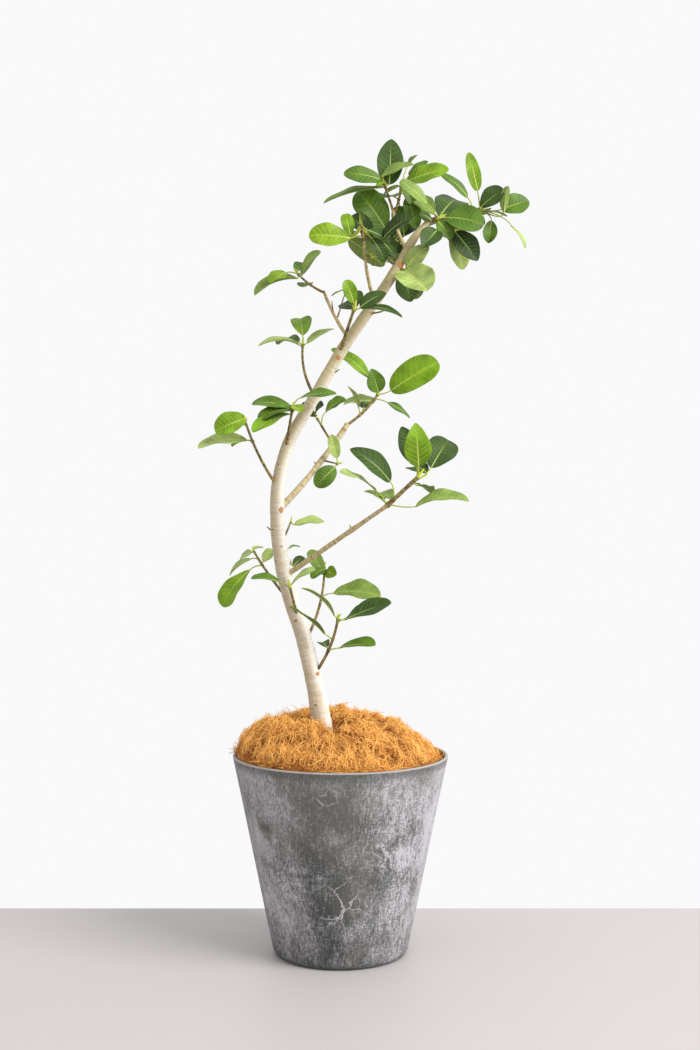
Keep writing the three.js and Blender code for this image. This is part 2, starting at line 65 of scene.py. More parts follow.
# The trunk: height, distance right, distance back and thickness
TRUNK = [
    (316.35, -28, -12, 46), (352, -28, -12, 41), (400, -33, -12, 35), (468, -46, -9, 29.6),
    (540, -63, -3, 28.4), (605, -85, 3, 27.2), (675, -102, 6, 26.4), (743, -109, 3, 25),
    (812, -106, -4, 22.8), (881, -86, -10, 21.6), (950, -46, -14, 20.8), (1040, 7, -14, 20),
    (1139, 74, -4, 18.8), (1187, 103, 4, 17.4), (1225, 125, 8, 14.4), (1262, 155, 12, 9.6),
]

# A place on a limb is a share of its length up to 1, and over that a height. Clock is an angle in the
# picture, from 0 at the right through 90 straight up, and toward is the angle out of the picture, at
# the viewer.
# The main boughs: their place on the trunk, clock, toward, length, bow, thickness at the foot and at
# the end, and how far their bark is still the brown of young wood, from 0 to 1
BOUGHS = {
    "bough_right_long": (646, 35, 26, 238, 0, 10, 7.8, 0.8),
    "bough_right_mid": (757, 52, -20, 210, -5, 12, 10, 0.6),
    "bough_left_upper": (1052, 116, -32, 119, 3, 6.6, 5.6, 0.85),
    "bough_crown_left": (1116, 101, 30, 113, 4, 7.2, 6, 0.9),
    "bough_crown_top": (1207, 108, -8, 77, 4, 7, 5.4, 0.9),
    "bough_crown_right": (1246, 23, -36, 98, 4, 6.4, 5, 0.85),
}

# The shoots, one for each mass of foliage: their limb, place, clock, toward, length, bow, thickness,
# number of spare leaves, and leaves. A leaf is a row: how far along the stem it grows, its stalk's
# length and clock, its blade's clock, toward, length and width, how far its upper side turns from the
# sky, at 0, to the viewer, at 90, and its tone. The tones are partly the leaves' own greens and partly
# painted light and shade.
SHOOTS = {
    "low_right": ("trunk", 475, 67, 20, 119, -7, 6, 0, [
        (1, 12, -14, 21, 6, 84, 42, 36, "deep"), (0.98, 9, 130, 136, 22, 78, 24, 8, "pale"),
        (0.48, 19, 12, 6, 12, 63, 32, 28, "green"), (0.66, 18, 144, 140, 30, 88, 22, 8, "green"),
        (0.46, 8, 110, 150, -72, 42, 22, 40, "deep"), (0.94, 26, 22, 16, -50, 66, 24, 30, "deep"),
    ]),
    "low_front": ("trunk", 568, 102, 32, 74, 0, 5.6, 0, [
        (0.97, 20, 148, 173, 12, 50, 26, 27, "green"), (1, 7, 60, 33, 10, 48, 24, 22, "pale"),
    ]),
    "inner_right": ("trunk", 533, 76, -34, 159, -9, 5.4, 0, [
        (0.92, 5, 250, 120, -20, 53, 25, 60, "olive"), (0.95, 5, -40, -12, 60, 38, 24, 85, "lime"),
        (0.98, 5, -60, 207, 48, 40, 22, 30, "green"), (0.6, 22, 17, -3, 10, 84, 44, 42, "olive"),
    ]),
    "right_long": ("bough_right_long", 1, 43, 8, 71, 0, 8, 1, [
        (0.2, 31, 99, 139, 12, 86, 40, 52, "deep"), (0.02, 31, 128, 153, 26, 74, 34, 16, "pale"),
        (0, 9, 117, 153, -42, 50, 22, 4, "olive"), (0.1, 9, 90, 132, -66, 50, 30, 50, "olive"),
        (1, 17, 88, 94, 6, 72, 46, 80, "bright"), (0.96, 23, 92, 110, -26, 76, 38, 60, "deep"),
        (0.72, 50, 38, 57, -40, 78, 52, 70, "deep"), (0.88, 28, 30, 154, -58, 56, 34, 40, "deep"),
        (0.06, 45, -5, 10, 12, 88, 42, 27, "olive"),
    ]),
    "waist_right": ("trunk", 693, 69, -34, 60, 0, 4.2, 0, [
        (1, 8, -40, 6, -8, 53, 28, 30, "pale"),
    ]),
    "waist_back": ("trunk", 655, 50, -66, 40, 0, 4, 0, [
        (1, 8, -50, 45, -42, 32, 18, 60, "deep"), (0.8, 30, 92, 11, -40, 24, 12, 6, "olive"),
    ]),
    "low_left": ("trunk", 598, 129, -36, 142, 3, 5.4, 0, [
        (1, 5, 220, 209, -40, 38, 24, 45, "pale"), (0.85, 15, 180, 213, -16, 50, 26, 26, "pale"),
        (0.98, 6, 120, 11, -46, 24, 12, 20, "pale"), (0.8, 6, 0, 55, -34, 32, 20, 50, "pale"),
        (0.74, 23, 200, 232, 8, 81, 42, 35, "bright"),
    ]),
    "mid_left": ("trunk", 800, 115, 30, 139, 5, 5.4, 1, [
        (1, 5, 60, 202, 6, 57, 40, 66, "bright"), (0.7, 12, 162, 186, 8, 82, 40, 33, "pale"),
        (0.72, 12, 176, 200, -48, 40, 22, 24, "pale"),
    ]),
    "mid_front": ("trunk", 858, 79, 30, 84, 0, 6, 0, [
        (1, 5, 130, 171, -6, 66, 36, 32, "green"), (0.97, 12, 20, 193, 14, 72, 36, 30, "green"),
        (1, 5, 92, -30, 54, 34, 20, 40, "lime"), (1, 25, 54, 6, 10, 61, 32, 25, "green"),
        (0.95, 5, 228, 208, 32, 80, 34, 25, "bright"),
    ]),
    "bough_low": ("bough_right_mid", 0.6, -14, 24, 31, 0, 3.6, 0, [
        (1, 10, 98, 104, 14, 43, 21, 60, "pale"), (0.95, 7, 242, 225, 12, 48, 34, 78, "green"),
    ]),
    "bough_inner": ("bough_right_mid", 0.77, 122, 30, 62, 0, 4.6, 0, [
        (1, 6, 124, 147, 40, 35, 28, 50, "dark"), (1, 8, 116, 44, 50, 32, 26, 50, "deep"),
        (0.95, 6, 126, 190, 50, 28, 22, 20, "deep"), (0.7, 26, 74, 34, -8, 42, 24, 40, "green"),
    ]),
    "right_mid": ("bough_right_mid", 1, 45, -12, 80, -4, 5.6, 1, [
        (1, 24, 16, 31, 6, 98, 54, 76, "bright"), (1, 4, 80, 107, 18, 44, 34, 70, "green"),
        (0.98, 34, 115, 140, -4, 86, 38, 27, "bright"), (0.9, 6, 260, 180, -26, 62, 32, 29, "pale"),
        (0.88, 24, -17, -35, 4, 48, 28, 24, "green"), (0.36, 14, 96, 116, 24, 46, 24, 14, "pale"),
    ]),
    "left_inner": ("trunk", 954, 103, -28, 111, 8, 5.4, 0, [
        (1, 18, 92, 99, -54, 64, 38, 50, "bright"), (0.98, 13, 156, 184, 6, 66, 34, 17, "pale"),
        (0.98, 9, 26, 32, -12, 55, 30, 16, "pale"), (0.94, 13, 145, 161, -58, 72, 34, 30, "green"),
    ]),
    "left_upper": ("bough_left_upper", 1, 144, -4, 57, 3, 4.8, 1, [
        (0.97, 5, -20, 58, -6, 56, 30, 20, "olive"), (1, 5, 130, 66, -52, 38, 22, 30, "green"),
        (1, 22, 177, 217, 36, 42, 27, 55, "lime"), (1, 8, 262, 201, 16, 83, 40, 23, "olive"),
    ]),
    "left_spur": ("bough_left_upper", 0.42, 74, -30, 60, 0, 3, 0, [
        (1, 7, 110, 206, -20, 25, 12, 14, "pale"),
    ]),
    "trunk_front": ("trunk", 1024, 70, 36, 95, 0, 6.4, 1, [
        (1, 8, 92, 110, 14, 42, 24, 60, "bright"), (0.96, 5, 60, 136, -56, 46, 36, 70, "dark"),
        (1, 10, 10, 29, 6, 50, 29, 60, "deep"), (0.96, 21, 12, -12, 14, 64, 32, 26, "deep"),
        (0.98, 9, 60, 87, -40, 38, 22, 50, "deep"),
    ]),
    "crown_left": ("bough_crown_left", 1, 101, 24, 32, 0, 5.6, 2, [
        (0.8, 27, 226, 176, 10, 69, 44, 70, "lime"), (0.92, 25, 223, 102, -26, 46, 22, 60, "bright"),
        (0.3, 25, 188, 329, -42, 92, 36, -50, "olive"), (0.7, 23, -40, 131, -32, 66, 34, 62, "dark"),
        (1, 3, 40, 110, 50, 30, 20, 40, "deep"),
    ]),
    "crown_middle": ("bough_crown_left", 0.76, -24, 44, 17, 0, 4.4, 0, [
        (1, 33, 58, 35, 14, 66, 34, 46, "dark"),
    ]),
    "crown_core": ("trunk", 1178, 105, -22, 57, 0, 5, 3, [
        (1, 20, 110, 126, 2, 80, 56, 74, "green"), (0.9, 8, 200, 236, -10, 44, 26, 50, "green"),
        (0.8, 8, 60, 292, -30, 40, 28, 64, "deep"), (0.75, 18, 55, 44, -34, 52, 32, 60, "deep"),
        (0.95, 12, 40, 62, -30, 54, 34, 60, "deep"), (0.6, 16, 70, 92, -44, 70, 44, 60, "deep"),
        (0.4, 14, 20, 24, -50, 66, 40, 54, "deep"), (0.3, 3, 18, 131, -25, 66, 40, 66, "deep"),
        (0.3, 19, 192, 128, -20, 51, 30, 70, "dark"), (0.86, 30, 36, 101, -14, 54, 32, 74, "green"),
    ]),
    "crown_high_left": ("bough_crown_top", 1, 110, 22, 49, 0, 4.6, 1, [
        (1, 8, 130, 172, 10, 66, 34, 64, "green"), (0.86, 5, 176, 197, 24, 116, 34, 12, "green"),
        (1, 12, 116, 18, 16, 60, 32, 40, "olive"), (0.98, 8, 0, 87, -18, 90, 46, 74, "deep"),
    ]),
    "crown_high": ("bough_crown_top", 0.82, 76, -34, 75, 0, 4.4, 2, [
        (1, 24, 58, 41, -10, 44, 20, 34, "green"), (1, 44, 74, 54, -30, 32, 14, 4, "green"),
        (0.9, 5, 30, 307, -6, 70, 28, 50, "bright"), (0.8, 15, -26, 281, 30, 73, 30, 60, "green"),
        (0.96, 15, 50, 14, 14, 76, 38, 64, "bright"),
    ]),
    "crown_right": ("trunk", 1, 6, 20, 16, 0, 8, 1, [
        (1, 12, 6, -11, 14, 68, 50, 70, "green"), (0.9, 6, 46, 52, -46, 90, 58, 64, "deep"),
        (1, 31, 128, 141, 10, 61, 30, 50, "olive"), (0.9, 22, 269, 233, 40, 57, 38, 70, "deep"),
        (0.7, 4, 312, 309, 14, 42, 30, 60, "green"), (0.9, 10, 122, 133, -32, 50, 32, 60, "olive"),
    ]),
    "crown_low_right": ("trunk", 1243, -2, -4, 54, 0, 4.6, 1, [
        (1, 5, -20, 306, 14, 66, 42, 74, "dark"), (0.94, 8, 280, 294, -12, 62, 36, 60, "pale"),
    ]),
    "crown_far_right": ("bough_crown_right", 1, 18, 4, 36, 0, 4.6, 2, [
        (0.6, 28, 110, 140, 10, 63, 21, 50, "green"), (0.95, 34, 97, 104, 6, 68, 25, 60, "bright"),
        (1, 5, 90, 37, 12, 50, 36, 74, "deep"), (1, 37, 2, 19, -8, 53, 42, 70, "green"),
        (1, 41, -8, 85, 18, 46, 18, -4, "olive"), (0.98, 27, -44, 262, 12, 42, 26, 66, "green"),
        (0.96, 62, -27, 300, 10, 48, 16, 4, "pale"), (1, 5, -49, -19, 34, 50, 20, 8, "deep"),
    ]),
    "crown_throat": ("trunk", 1178, 328, 34, 20, 0, 5, 2, [
        (1, 6, 80, 44, 8, 53, 34, 62, "pale"), (1, 5, 174, 308, 56, 103, 62, 66, "pale"),
        (0.9, 4, 200, 286, -14, 54, 42, 70, "deep"),
    ]),
}

# The smaller leaves inside the masses, as the same rows, which the solids leave out
FINER_LEAVES = {
    "crown_left": [
        (0.45, 16, -28, -56, -12, 46, 24, 60, "deep"), (0.85, 12, -34, -25, -20, 44, 23, 64, "deep"),
    ],
    "crown_core": [
        (0.7, 21, 151, -50, 24, 44, 18, 60, "deep"), (1, 19, 123, 151, -6, 38, 21, 66, "deep"),
    ],
    "crown_high": [
        (0.55, 27, 87, -154, -20, 33, 16, 40, "green"), (0.7, 25, 80, -66, 16, 47, 21, 60, "green"),
    ],
    "crown_high_left": [(0.92, 7, 90, -141, 34, 22, 11, 40, "bright")],
    "crown_right": [(0.5, 4, -133, 152, 20, 27, 14, 60, "deep")],
    "crown_throat": [(1, 18, 76, 46, -24, 44, 22, 60, "deep")],
    "crown_far_right": [(0.6, 8, -2, -58, -12, 24, 12, 60, "green")],
}

# The outlines of the leaves that show best, by their mass and row: where they are fullest, and how
# round they are towards the foot and the tip, from 1 for straight through 2 for an ellipse
LEAF_FORMS = {
    ("low_right", 0): (0.62, 1.35, 1.9), ("low_right", 2): (0.68, 1.3, 2.6),
    ("inner_right", 3): (0.55, 1.6, 2), ("low_left", 4): (0.7, 1.3, 2),
    ("right_long", 0): (0.5, 1.8, 1.6), ("right_long", 4): (0.42, 1.9, 1.4),
    ("right_long", 5): (0.42, 1.9, 1.4), ("right_long", 6): (0.6, 1.7, 2.5),
    ("right_mid", 0): (0.54, 2.1, 2.4), ("right_mid", 1): (0.46, 1.9, 1.5),
    ("trunk_front", 2): (0.46, 1.9, 1.5), ("crown_left", 0): (0.56, 1.6, 2),
    ("crown_high_left", 3): (0.46, 2.1, 1.45), ("crown_right", 3): (0.5, 1.8, 1.5),
    ("crown_low_right", 0): (0.5, 1.8, 1.6), ("crown_throat", 1): (0.56, 1.9, 2.3),
    ("crown_throat", 2): (0.5, 2, 1.5),
}

# The scars and knots of each limb: their place, how far they lie to the left of its middle, from -1 to
# 1, their size, how far they stand out, and how orange they are, from 0 for dark to 1
SCARS = {
    "trunk": [
        (761, -0.66, 5.2, 1.4, 1), (728, 0.62, 3, 0.7, 0.1), (698, -0.35, 3.6, 0.7, 0.4),
        (674, 0.74, 3.4, 0.8, 0.2), (642, 0.1, 2.4, 0.3, 0.2), (571, 0.19, 4.4, 1.8, 0.2),
        (478, -0.66, 3.8, 1, 0.9), (428, 0.25, 4, 1, 0.2), (523, -0.2, 2.6, 0.4, 0.3),
        (838, 0.5, 3, 0.6, 0.1), (876, 0.21, 4.4, 1, 0.5), (935, -0.2, 2.6, 0.5, 0.2),
        (1020, -0.12, 4.6, 1.1, 0.8), (1100, -0.8, 4.6, 1.2, 0.7), (1148, 0.3, 3, 0.6, 0.3),
        (1181, -0.5, 6, 1.2, 1), (1211, 0.2, 3, 0.6, 0.4),
    ],
    "bough_right_long": [
        (0.28, 0.3, 2.2, 0.5, 0), (0.5, -0.2, 2.6, 0.6, 0), (0.78, 0.2, 2.8, 0.9, 0.1),
    ],
    "bough_right_mid": [
        (0.3, -0.1, 2.4, 0.5, 0.1), (0.62, 0.3, 2.4, 0.6, 0.1), (0.93, -0.2, 4, 1.6, 0.7),
    ],
    "bough_left_upper": [(0.5, 0.3, 2.4, 0.6, 0.2), (0.85, 0.6, 3, 1, 0.1)],
    "bough_crown_left": [(0.4, 0.2, 2.6, 0.7, 0.2)],
    "bough_crown_right": [(0.3, -0.3, 2.6, 0.7, 0.2)],
}

# The dead ends of fallen twigs on each limb: place, clock, toward, length and thickness
STUBS = {
    "trunk": [
        (715, 142, 10, 12, 3.2), (984, 31, 8, 19, 3), (1095, 5, 18, 21, 3.6), (1176, 135, 20, 9, 3.2),
        (640, -160, -60, 7, 3), (905, 20, -70, 10, 3.4), (1130, 170, -65, 9, 3),
    ],
    "bough_left_upper": [(0.56, 97, 20, 17, 2.4), (0.9, 112, 10, 7, 2.6)],
    "bough_right_mid": [(0.55, 160, 30, 5, 3)],
    "bough_right_long": [(0.66, 120, -40, 6, 2.6)],
}

# Rules that the source gives
SEED = 7
STEM_TAPER = 0.72
STEM_SUNK = 3
STALK_BEND = 0.4
LEAF_ARCH = 0.07
LEAF_SWAY = 8
BLADE_LEAN = 1.08
BLADE_BLUNT = 0.45
FEEL_ALONG = (0.15, 0.4, 0.65, 0.9)
FEEL_ACROSS = (-0.9, 0, 0.9)
FEEL_CLEAR = 2.5
SPARE = dict(tries=6, turn=137.5, width=0.52, stalk=12, room=14)
SPARE_RANGES = dict(away=(60, 84), length=(50, 76), along=(0.38, 0.98), face=(0, 40))
SPARE_TONES = ("green", "deep", "deep", "bright", "green", "olive")
MOUND = dict(rise=80, reach=178, edge=4, lump=5, dip=20, dip_width=30)
DOME = dict(fullness=3.1, fuller_left=0.9, shoulder=0.65, softer_right=0.15)
# How wide a leaf's drawn-out tip is, the most that its blade twists from end to end, in radians, and
# the most that its tip droops, as a share of its length
TIP_WIDTH = 1.2
LEAF_TWIST = 0.6
LEAF_DROOP = 0.1
# What else is drawn for each leaf, in this order, as the least value and the span over it: where it is
# fullest, how round it is towards the foot and the tip, and how far its halves fold up and its edges
# wave, as a share of its half width
LEAF_DRAWS = dict(
    fullest=(0.46, 0.16), foot_round=(1.5, 0.5), tip_round=(1.6, 0.8), fold=(0.06, 0.38),
    wave=(0.02, 0.09),
)
# The seeds of the leaves' forms and of the finer leaves stand this far from those of the shoots
FORM_SEED = SEED + 100
FINER_SEED = SEED + 200


def seeded(seed):
    """Random numbers from 0 to 1 that are the same on every run, as the source draws them."""
    mask = 0xFFFFFFFF
    state = seed

    def draw():
        nonlocal state
        state = (state + 0x6D2B79F5) & mask
        t = (state ^ (state >> 15)) * (1 | state) & mask
        t = (t + ((t ^ (t >> 7)) * (61 | t) & mask) & mask) ^ t
        return ((t ^ (t >> 14)) & mask) / 4294967296

    return draw


def unit(vectors):
    """The vectors with a length of one."""
    return vectors / np.maximum(np.linalg.norm(vectors, axis=-1, keepdims=True), 1e-12)


def dots(a, b):
    """The dot products of two rows of vectors."""
    return np.sum(a * b, axis=-1, keepdims=True)


def heading(clock, toward):
    """The unit vector of a clock angle in the picture and an angle toward the viewer."""
    c = math.radians(clock)
    w = math.radians(toward)
    return np.array((math.cos(c) * math.cos(w), -math.sin(w), math.sin(c) * math.cos(w)))


class Limb:
    """A limb or stem: its middle line and its radius, for places along it from 0 to 1."""

    def __init__(self, place, radius):
        self.place = place
        self.radius = radius

    def tangent(self, t):
        """The unit vectors along the limb."""
        t = np.asarray(t, float)
        step = 0.0001
        return unit(self.place(np.minimum(t + step, 1)) - self.place(np.maximum(t - step, 0)))

    def length(self):
        """The limb's length in millimetres."""
        line = self.place(np.linspace(0, 1, 200))
        return np.linalg.norm(np.diff(line, axis=0), axis=1).sum()


def trunk_limb():
    """The trunk, as one smooth curve through its rows."""
    rows = np.array(TRUNK, float)
    points = rows[:, (1, 2, 0)]
    last = len(points) - 1
    knots = np.vstack((2 * points[0] - points[1], points, 2 * points[-1] - points[-2]))

    def place(t):
        steps = np.asarray(t, float) * last
        low = np.minimum(steps.astype(int), last - 1)
        s = (steps - low)[..., None]
        a, b, c, d = (knots[low + i] for i in range(4))
        square = 2 * a - 5 * b + 4 * c - d
        cube = 3 * b - a - 3 * c + d
        return 0.5 * (2 * b + (c - a) * s + square * s**2 + cube * s**3)

    def radius(t):
        return np.interp(np.asarray(t, float) * last, np.arange(len(rows)), rows[:, 3]) / 2

    return Limb(place, radius)


def straight_limb(start, clock, toward, length, bow, thick_start, thick_end):
    """A limb or stem that bows to the left of its heading in the picture."""
    end = start + heading(clock, toward) * length
    middle = (start + end) / 2 + heading(clock + 90, 0) * 2 * bow

    def place(t):
        t = np.asarray(t, float)[..., None]
        return start * (1 - t) ** 2 + middle * 2 * t * (1 - t) + end * t**2

    def radius(t):
        return (thick_start + (thick_end - thick_start) * np.asarray(t, float)) / 2

    return Limb(place, radius)


def find_place(limb, place):
    """A place as a share of its limb's length: it is one up to 1, and over that a height."""
    if place <= 1:
        return place
    low, high = 0.0, 1.0
    while high - low > 1e-9:
        middle = (low + high) / 2
        if limb.place(middle)[2] < place:
            low = middle
        else:
            high = middle
    return (low + high) / 2


def grow_limbs():
    """The trunk and the boughs by name."""
    trunk = trunk_limb()
    limbs = {"trunk": trunk}
    for name, (place, *line, _) in BOUGHS.items():
        limbs[name] = straight_limb(trunk.place(find_place(trunk, place)), *line)
    return limbs


def lay_leaf(stem, row, random):
    """Where a leaf lies: its stalk's ends, its blade's chord and upper side, and its form."""
    along, stalk, stalk_clock, clock, toward, length, width, face, tone = row
    node = stem.place(along)
    foot = node + heading(stalk_clock, toward / 2) * stalk
    chord = heading(clock, toward)
    turn = math.radians(face + LEAF_SWAY * (random() - 0.5))
    normal = np.array((0, -math.sin(turn), math.cos(turn)))
    normal = unit(normal - chord * (normal @ chord))
    arch = LEAF_ARCH * (0.4 + random())
    return SimpleNamespace(
        node=node, foot=foot, chord=chord, normal=normal, across=np.cross(chord, normal),
        length=length, width=width, arch=arch, tone=tone, along=along,
    )


def half_width(leaf, s):
    """Half the width of a blade along it: one rounded curve up to its fullest place, one on."""
    back = np.clip(1 - s / leaf.fullest, 0, 1)
    ahead = np.clip((s - leaf.fullest) / (1 - leaf.fullest), 0, 1)
    rise = (1 - back**leaf.foot_round) ** (1 / leaf.foot_round)
    fall = (1 - ahead**leaf.tip_round) ** (1 / leaf.tip_round)
    return np.maximum(TIP_WIDTH / 2, leaf.width / 2 * rise * fall)


def blade_places(leaf, s, u, lift=0.0):
    """Points of a blade: s from its foot to its tip, u from edge to edge, lifted off its surface."""
    s, u = np.broadcast_arrays(np.asarray(s, float), np.asarray(u, float))
    half = half_width(leaf, s)
    rise = leaf.length * leaf.arch * 4 * s * (1 - s)
    rise = rise + leaf.fold * half * np.abs(u) ** 1.25
    turn = math.tau * leaf.waves * s + leaf.phase + np.sign(u)
    rise = rise + leaf.wave * half * np.sin(turn) * u * u
    rise = rise - leaf.droop * leaf.length * s**3 + lift
    points = leaf.foot + leaf.chord * (leaf.length * s)[..., None]
    points = points + leaf.normal * rise[..., None]
    turn = leaf.twist * (s - 0.35)
    out = leaf.across * np.cos(turn)[..., None] + leaf.normal * np.sin(turn)[..., None]
    return points + out * (half * u)[..., None]


def feelers(leaf):
    """The points that say whether a leaf has room, on the source's plain blade."""
    s, u = (grid.reshape(-1, 1) for grid in np.meshgrid(FEEL_ALONG, FEEL_ACROSS))
    half = leaf.width / 2 * np.sin(np.pi * s**BLADE_LEAN) ** BLADE_BLUNT
    rise = leaf.length * leaf.arch * 4 * s * (1 - s)
    return leaf.foot + leaf.chord * leaf.length * s + leaf.normal * rise + leaf.across * half * u


def nearest(points, others, reach=0.0):
    """How near the points come to other points, less what those reach."""
    gaps = np.linalg.norm(points[:, None] - others[None], axis=2) - reach
    return gaps.min() if gaps.size else np.inf


def spare_rows(spare, random):
    """The rows of the leaves that the spiral rule offers for a shoot's far side."""
    rows = []
    first = 360 * random()
    for i in range(spare * SPARE["tries"]):
        turn = (first + i * SPARE["turn"]) % 360
        away, length, along, face = (
            low + (high - low) * random() for low, high in SPARE_RANGES.values()
        )
        width = length * SPARE["width"]
        tone = SPARE_TONES[i % len(SPARE_TONES)]
        rows.append((along, SPARE["stalk"], turn, turn, -away, length, width, face, tone))
    return rows


def grow_shoots(limbs):
    """Every shoot's stem and the leaves that it has room for."""
    grown = []
    for index, (name, (limb_name, place, *line, thick, spare, rows)) in enumerate(SHOOTS.items()):
        limb = limbs[limb_name]
        share = find_place(limb, place)
        start = limb.place(share) - limb.tangent(share) * (STEM_SUNK if place == 1 else 0)
        stem = straight_limb(start, *line, thick, thick * STEM_TAPER)
        random = seeded(SEED + index)
        leaves = [lay_leaf(stem, row, random) for row in rows]
        shoot = SimpleNamespace(name=name, stem=stem, leaves=leaves, random=random, spare=spare)
        grown.append(shoot)
    places = np.linspace(0, 1, 61)
    spots = np.vstack([limb.place(places) for limb in limbs.values()])
    reach = np.concatenate([limb.radius(places) for limb in limbs.values()])
    for g in grown:
        g.leaves = [f for f in g.leaves if nearest(feelers(f), spots, reach) >= FEEL_CLEAR]
        others = np.vstack([feelers(f) for o in grown if o is not g for f in o.leaves])
        left = g.spare
        for row in spare_rows(g.spare, g.random):
            leaf = lay_leaf(g.stem, row, g.random)
            points = feelers(leaf)
            own = np.vstack([feelers(f) for f in g.leaves])
            room = nearest(points, spots, reach) >= FEEL_CLEAR
            room = room and nearest(points, others) >= SPARE["room"]
            if left > 0 and room and nearest(points, own) >= SPARE["room"] / 2:
                g.leaves.append(leaf)
                left -= 1
    return grown


def add_finer_leaves(grown):
    """Adds the smaller leaves inside the masses, which the solids leave out."""
    for index, g in enumerate(grown):
        random = seeded(FINER_SEED + index)
        g.leaves += [lay_leaf(g.stem, row, random) for row in FINER_LEAVES.get(g.name, ())]


def shape_leaves(grown):
    """Gives each leaf its own outline, folds and waves."""
    for index, g in enumerate(grown):
        random = seeded(FORM_SEED + index)
        for place, leaf in enumerate(g.leaves):
            for value, (least, span) in LEAF_DRAWS.items():
                setattr(leaf, value, least + span * random())
            if (g.name, place) in LEAF_FORMS:
                leaf.fullest, leaf.foot_round, leaf.tip_round = LEAF_FORMS[g.name, place]
            leaf.twist = LEAF_TWIST * (random() - 0.5)
            leaf.waves = 1 + 1.2 * random()
            leaf.phase = math.tau * random()
            leaf.droop = LEAF_DROOP * random() ** 2


# A slanting direction that no tube sets out along, and how many waves add up to one octave of noise
ASKEW = (0.36, 0.48, 0.8)
WAVES = 14


def add_values(mesh, **values):
    """Gives the points of a mesh these values."""
    for name, numbers in values.items():
        layer = mesh.attributes.new(name, "FLOAT", "POINT")
        layer.data.foreach_set("value", numbers.astype(np.float32))


def new_piece(name, points, faces, materials, shade=None, uv=None, **values):
    """A smooth mesh object from points in millimetres and arrays of faces, each of one size.

    shade is each face's material, uv each point's place on its blade, and values are attributes.
    """
    mesh = bpy.data.meshes.new(name)
    mesh.vertices.add(len(points))
    mesh.vertices.foreach_set("co", (np.asarray(points, np.float32) * MM).ravel())
    corners = np.concatenate([f.ravel() for f in faces])
    sizes = np.concatenate([np.full(len(f), f.shape[1]) for f in faces])
    mesh.loops.add(len(corners))
    mesh.loops.foreach_set("vertex_index", corners.astype(np.int32))
    mesh.polygons.add(len(sizes))
    starts = np.concatenate(([0], np.cumsum(sizes)[:-1]))
    mesh.polygons.foreach_set("loop_start", starts.astype(np.int32))
    mesh.polygons.foreach_set("use_smooth", np.ones(len(sizes), bool))
    if shade is not None:
        mesh.polygons.foreach_set("material_index", shade.astype(np.int32))
    if uv is not None:
        layer = mesh.uv_layers.new(name="blade")
        layer.data.foreach_set("uv", uv[corners].astype(np.float32).ravel())
    add_values(mesh, **values)
    mesh.update(calc_edges=True)
    for material in materials:
        mesh.materials.append(material)
    piece = bpy.data.objects.new(name, mesh)
    bpy.context.scene.collection.objects.link(piece)
    return piece


def read_places(piece):
    """A piece's points in millimetres."""
    places = np.zeros(len(piece.data.vertices) * 3, np.float32)
    piece.data.vertices.foreach_get("co", places)
    return places.reshape(-1, 3).astype(float) / MM


def write_places(piece, places):
    """Moves a piece's points to these places in millimetres."""
    piece.data.vertices.foreach_set("co", (places * MM).ravel().astype(np.float32))


def seat(piece, slot, *nodes):
    """Lets a finished piece ride on the plant and hides the solids that it stands for; slot is not
    used.
    """
    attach(piece, "root")
    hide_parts(*nodes)


def sweep(lines, radii, sides):
    """Closed round tubes: lines is (tubes, steps, 3) and radii (tubes, steps), in millimetres."""
    tubes, steps, _ = lines.shape
    along = unit(np.gradient(lines, axis=1))
    across = np.cross(along[:, 0], ASKEW)
    turns = np.arange(sides) * math.tau / sides
    rings = []
    for step in range(steps):
        tangent = along[:, step]
        across = unit(across - tangent * dots(across, tangent))
        other = np.cross(tangent, across)
        ring = across[:, None] * np.cos(turns)[:, None] + other[:, None] * np.sin(turns)[:, None]
        rings.append(lines[:, step, None] + ring * radii[:, step, None, None])
    points = np.stack(rings, axis=1)
    index = np.arange(tubes * steps * sides).reshape(tubes, steps, sides)
    here, up = index[:, :-1], index[:, 1:]
    walls = np.stack((here, np.roll(here, -1, 2), np.roll(up, -1, 2), up), axis=-1)
    caps = np.vstack((index[:, 0, ::-1], index[:, -1]))
    return points.reshape(-1, 3), [walls.reshape(-1, 4), caps]


def merged(parts):
    """Several (points, faces) as one, where each part's faces are arrays of quads and of caps."""
    points, groups, start = [], {}, 0
    for part_points, part_faces in parts:
        points.append(part_points)
        for faces in part_faces:
            groups.setdefault(faces.shape[1], []).append(faces + start)
        start += len(part_points)
    return np.vstack(points), [np.vstack(group) for group in groups.values()]


def noise(places, size, seed, octaves=2):
    """Soft noise from about -1 to 1 at places in millimetres, with lumps of the given size."""
    rng = np.random.default_rng(seed)
    total = np.zeros(len(places))
    scale = math.tau / size
    for octave in range(octaves):
        waves = unit(rng.normal(size=(WAVES, 3))) * rng.uniform(0.5, 1.3, (WAVES, 1)) * scale
        phases = rng.uniform(0, math.tau, WAVES)
        total += np.sin(places @ waves.T + phases).sum(axis=1) / 5 / 2**octave
        scale *= 2.1
    return total


def deselect():
    """Leaves nothing selected, so that an operator acts only on what comes next."""
    if bpy.context.object and bpy.context.object.mode != "OBJECT":
        bpy.ops.object.mode_set(mode="OBJECT")
    bpy.ops.object.select_all(action="DESELECT")


def choose(piece):
    """Makes a piece the only selected and active one."""
    deselect()
    piece.select_set(True)
    bpy.context.view_layer.objects.active = piece


def apply_modifier(piece, kind, **settings):
    """Adds a modifier to a piece and applies it."""
    choose(piece)
    bpy.ops.object.modifier_add(type=kind)
    modifier = piece.modifiers[-1]
    for name, value in settings.items():
        setattr(modifier, name, value)
    bpy.ops.object.modifier_apply(modifier=modifier.name)


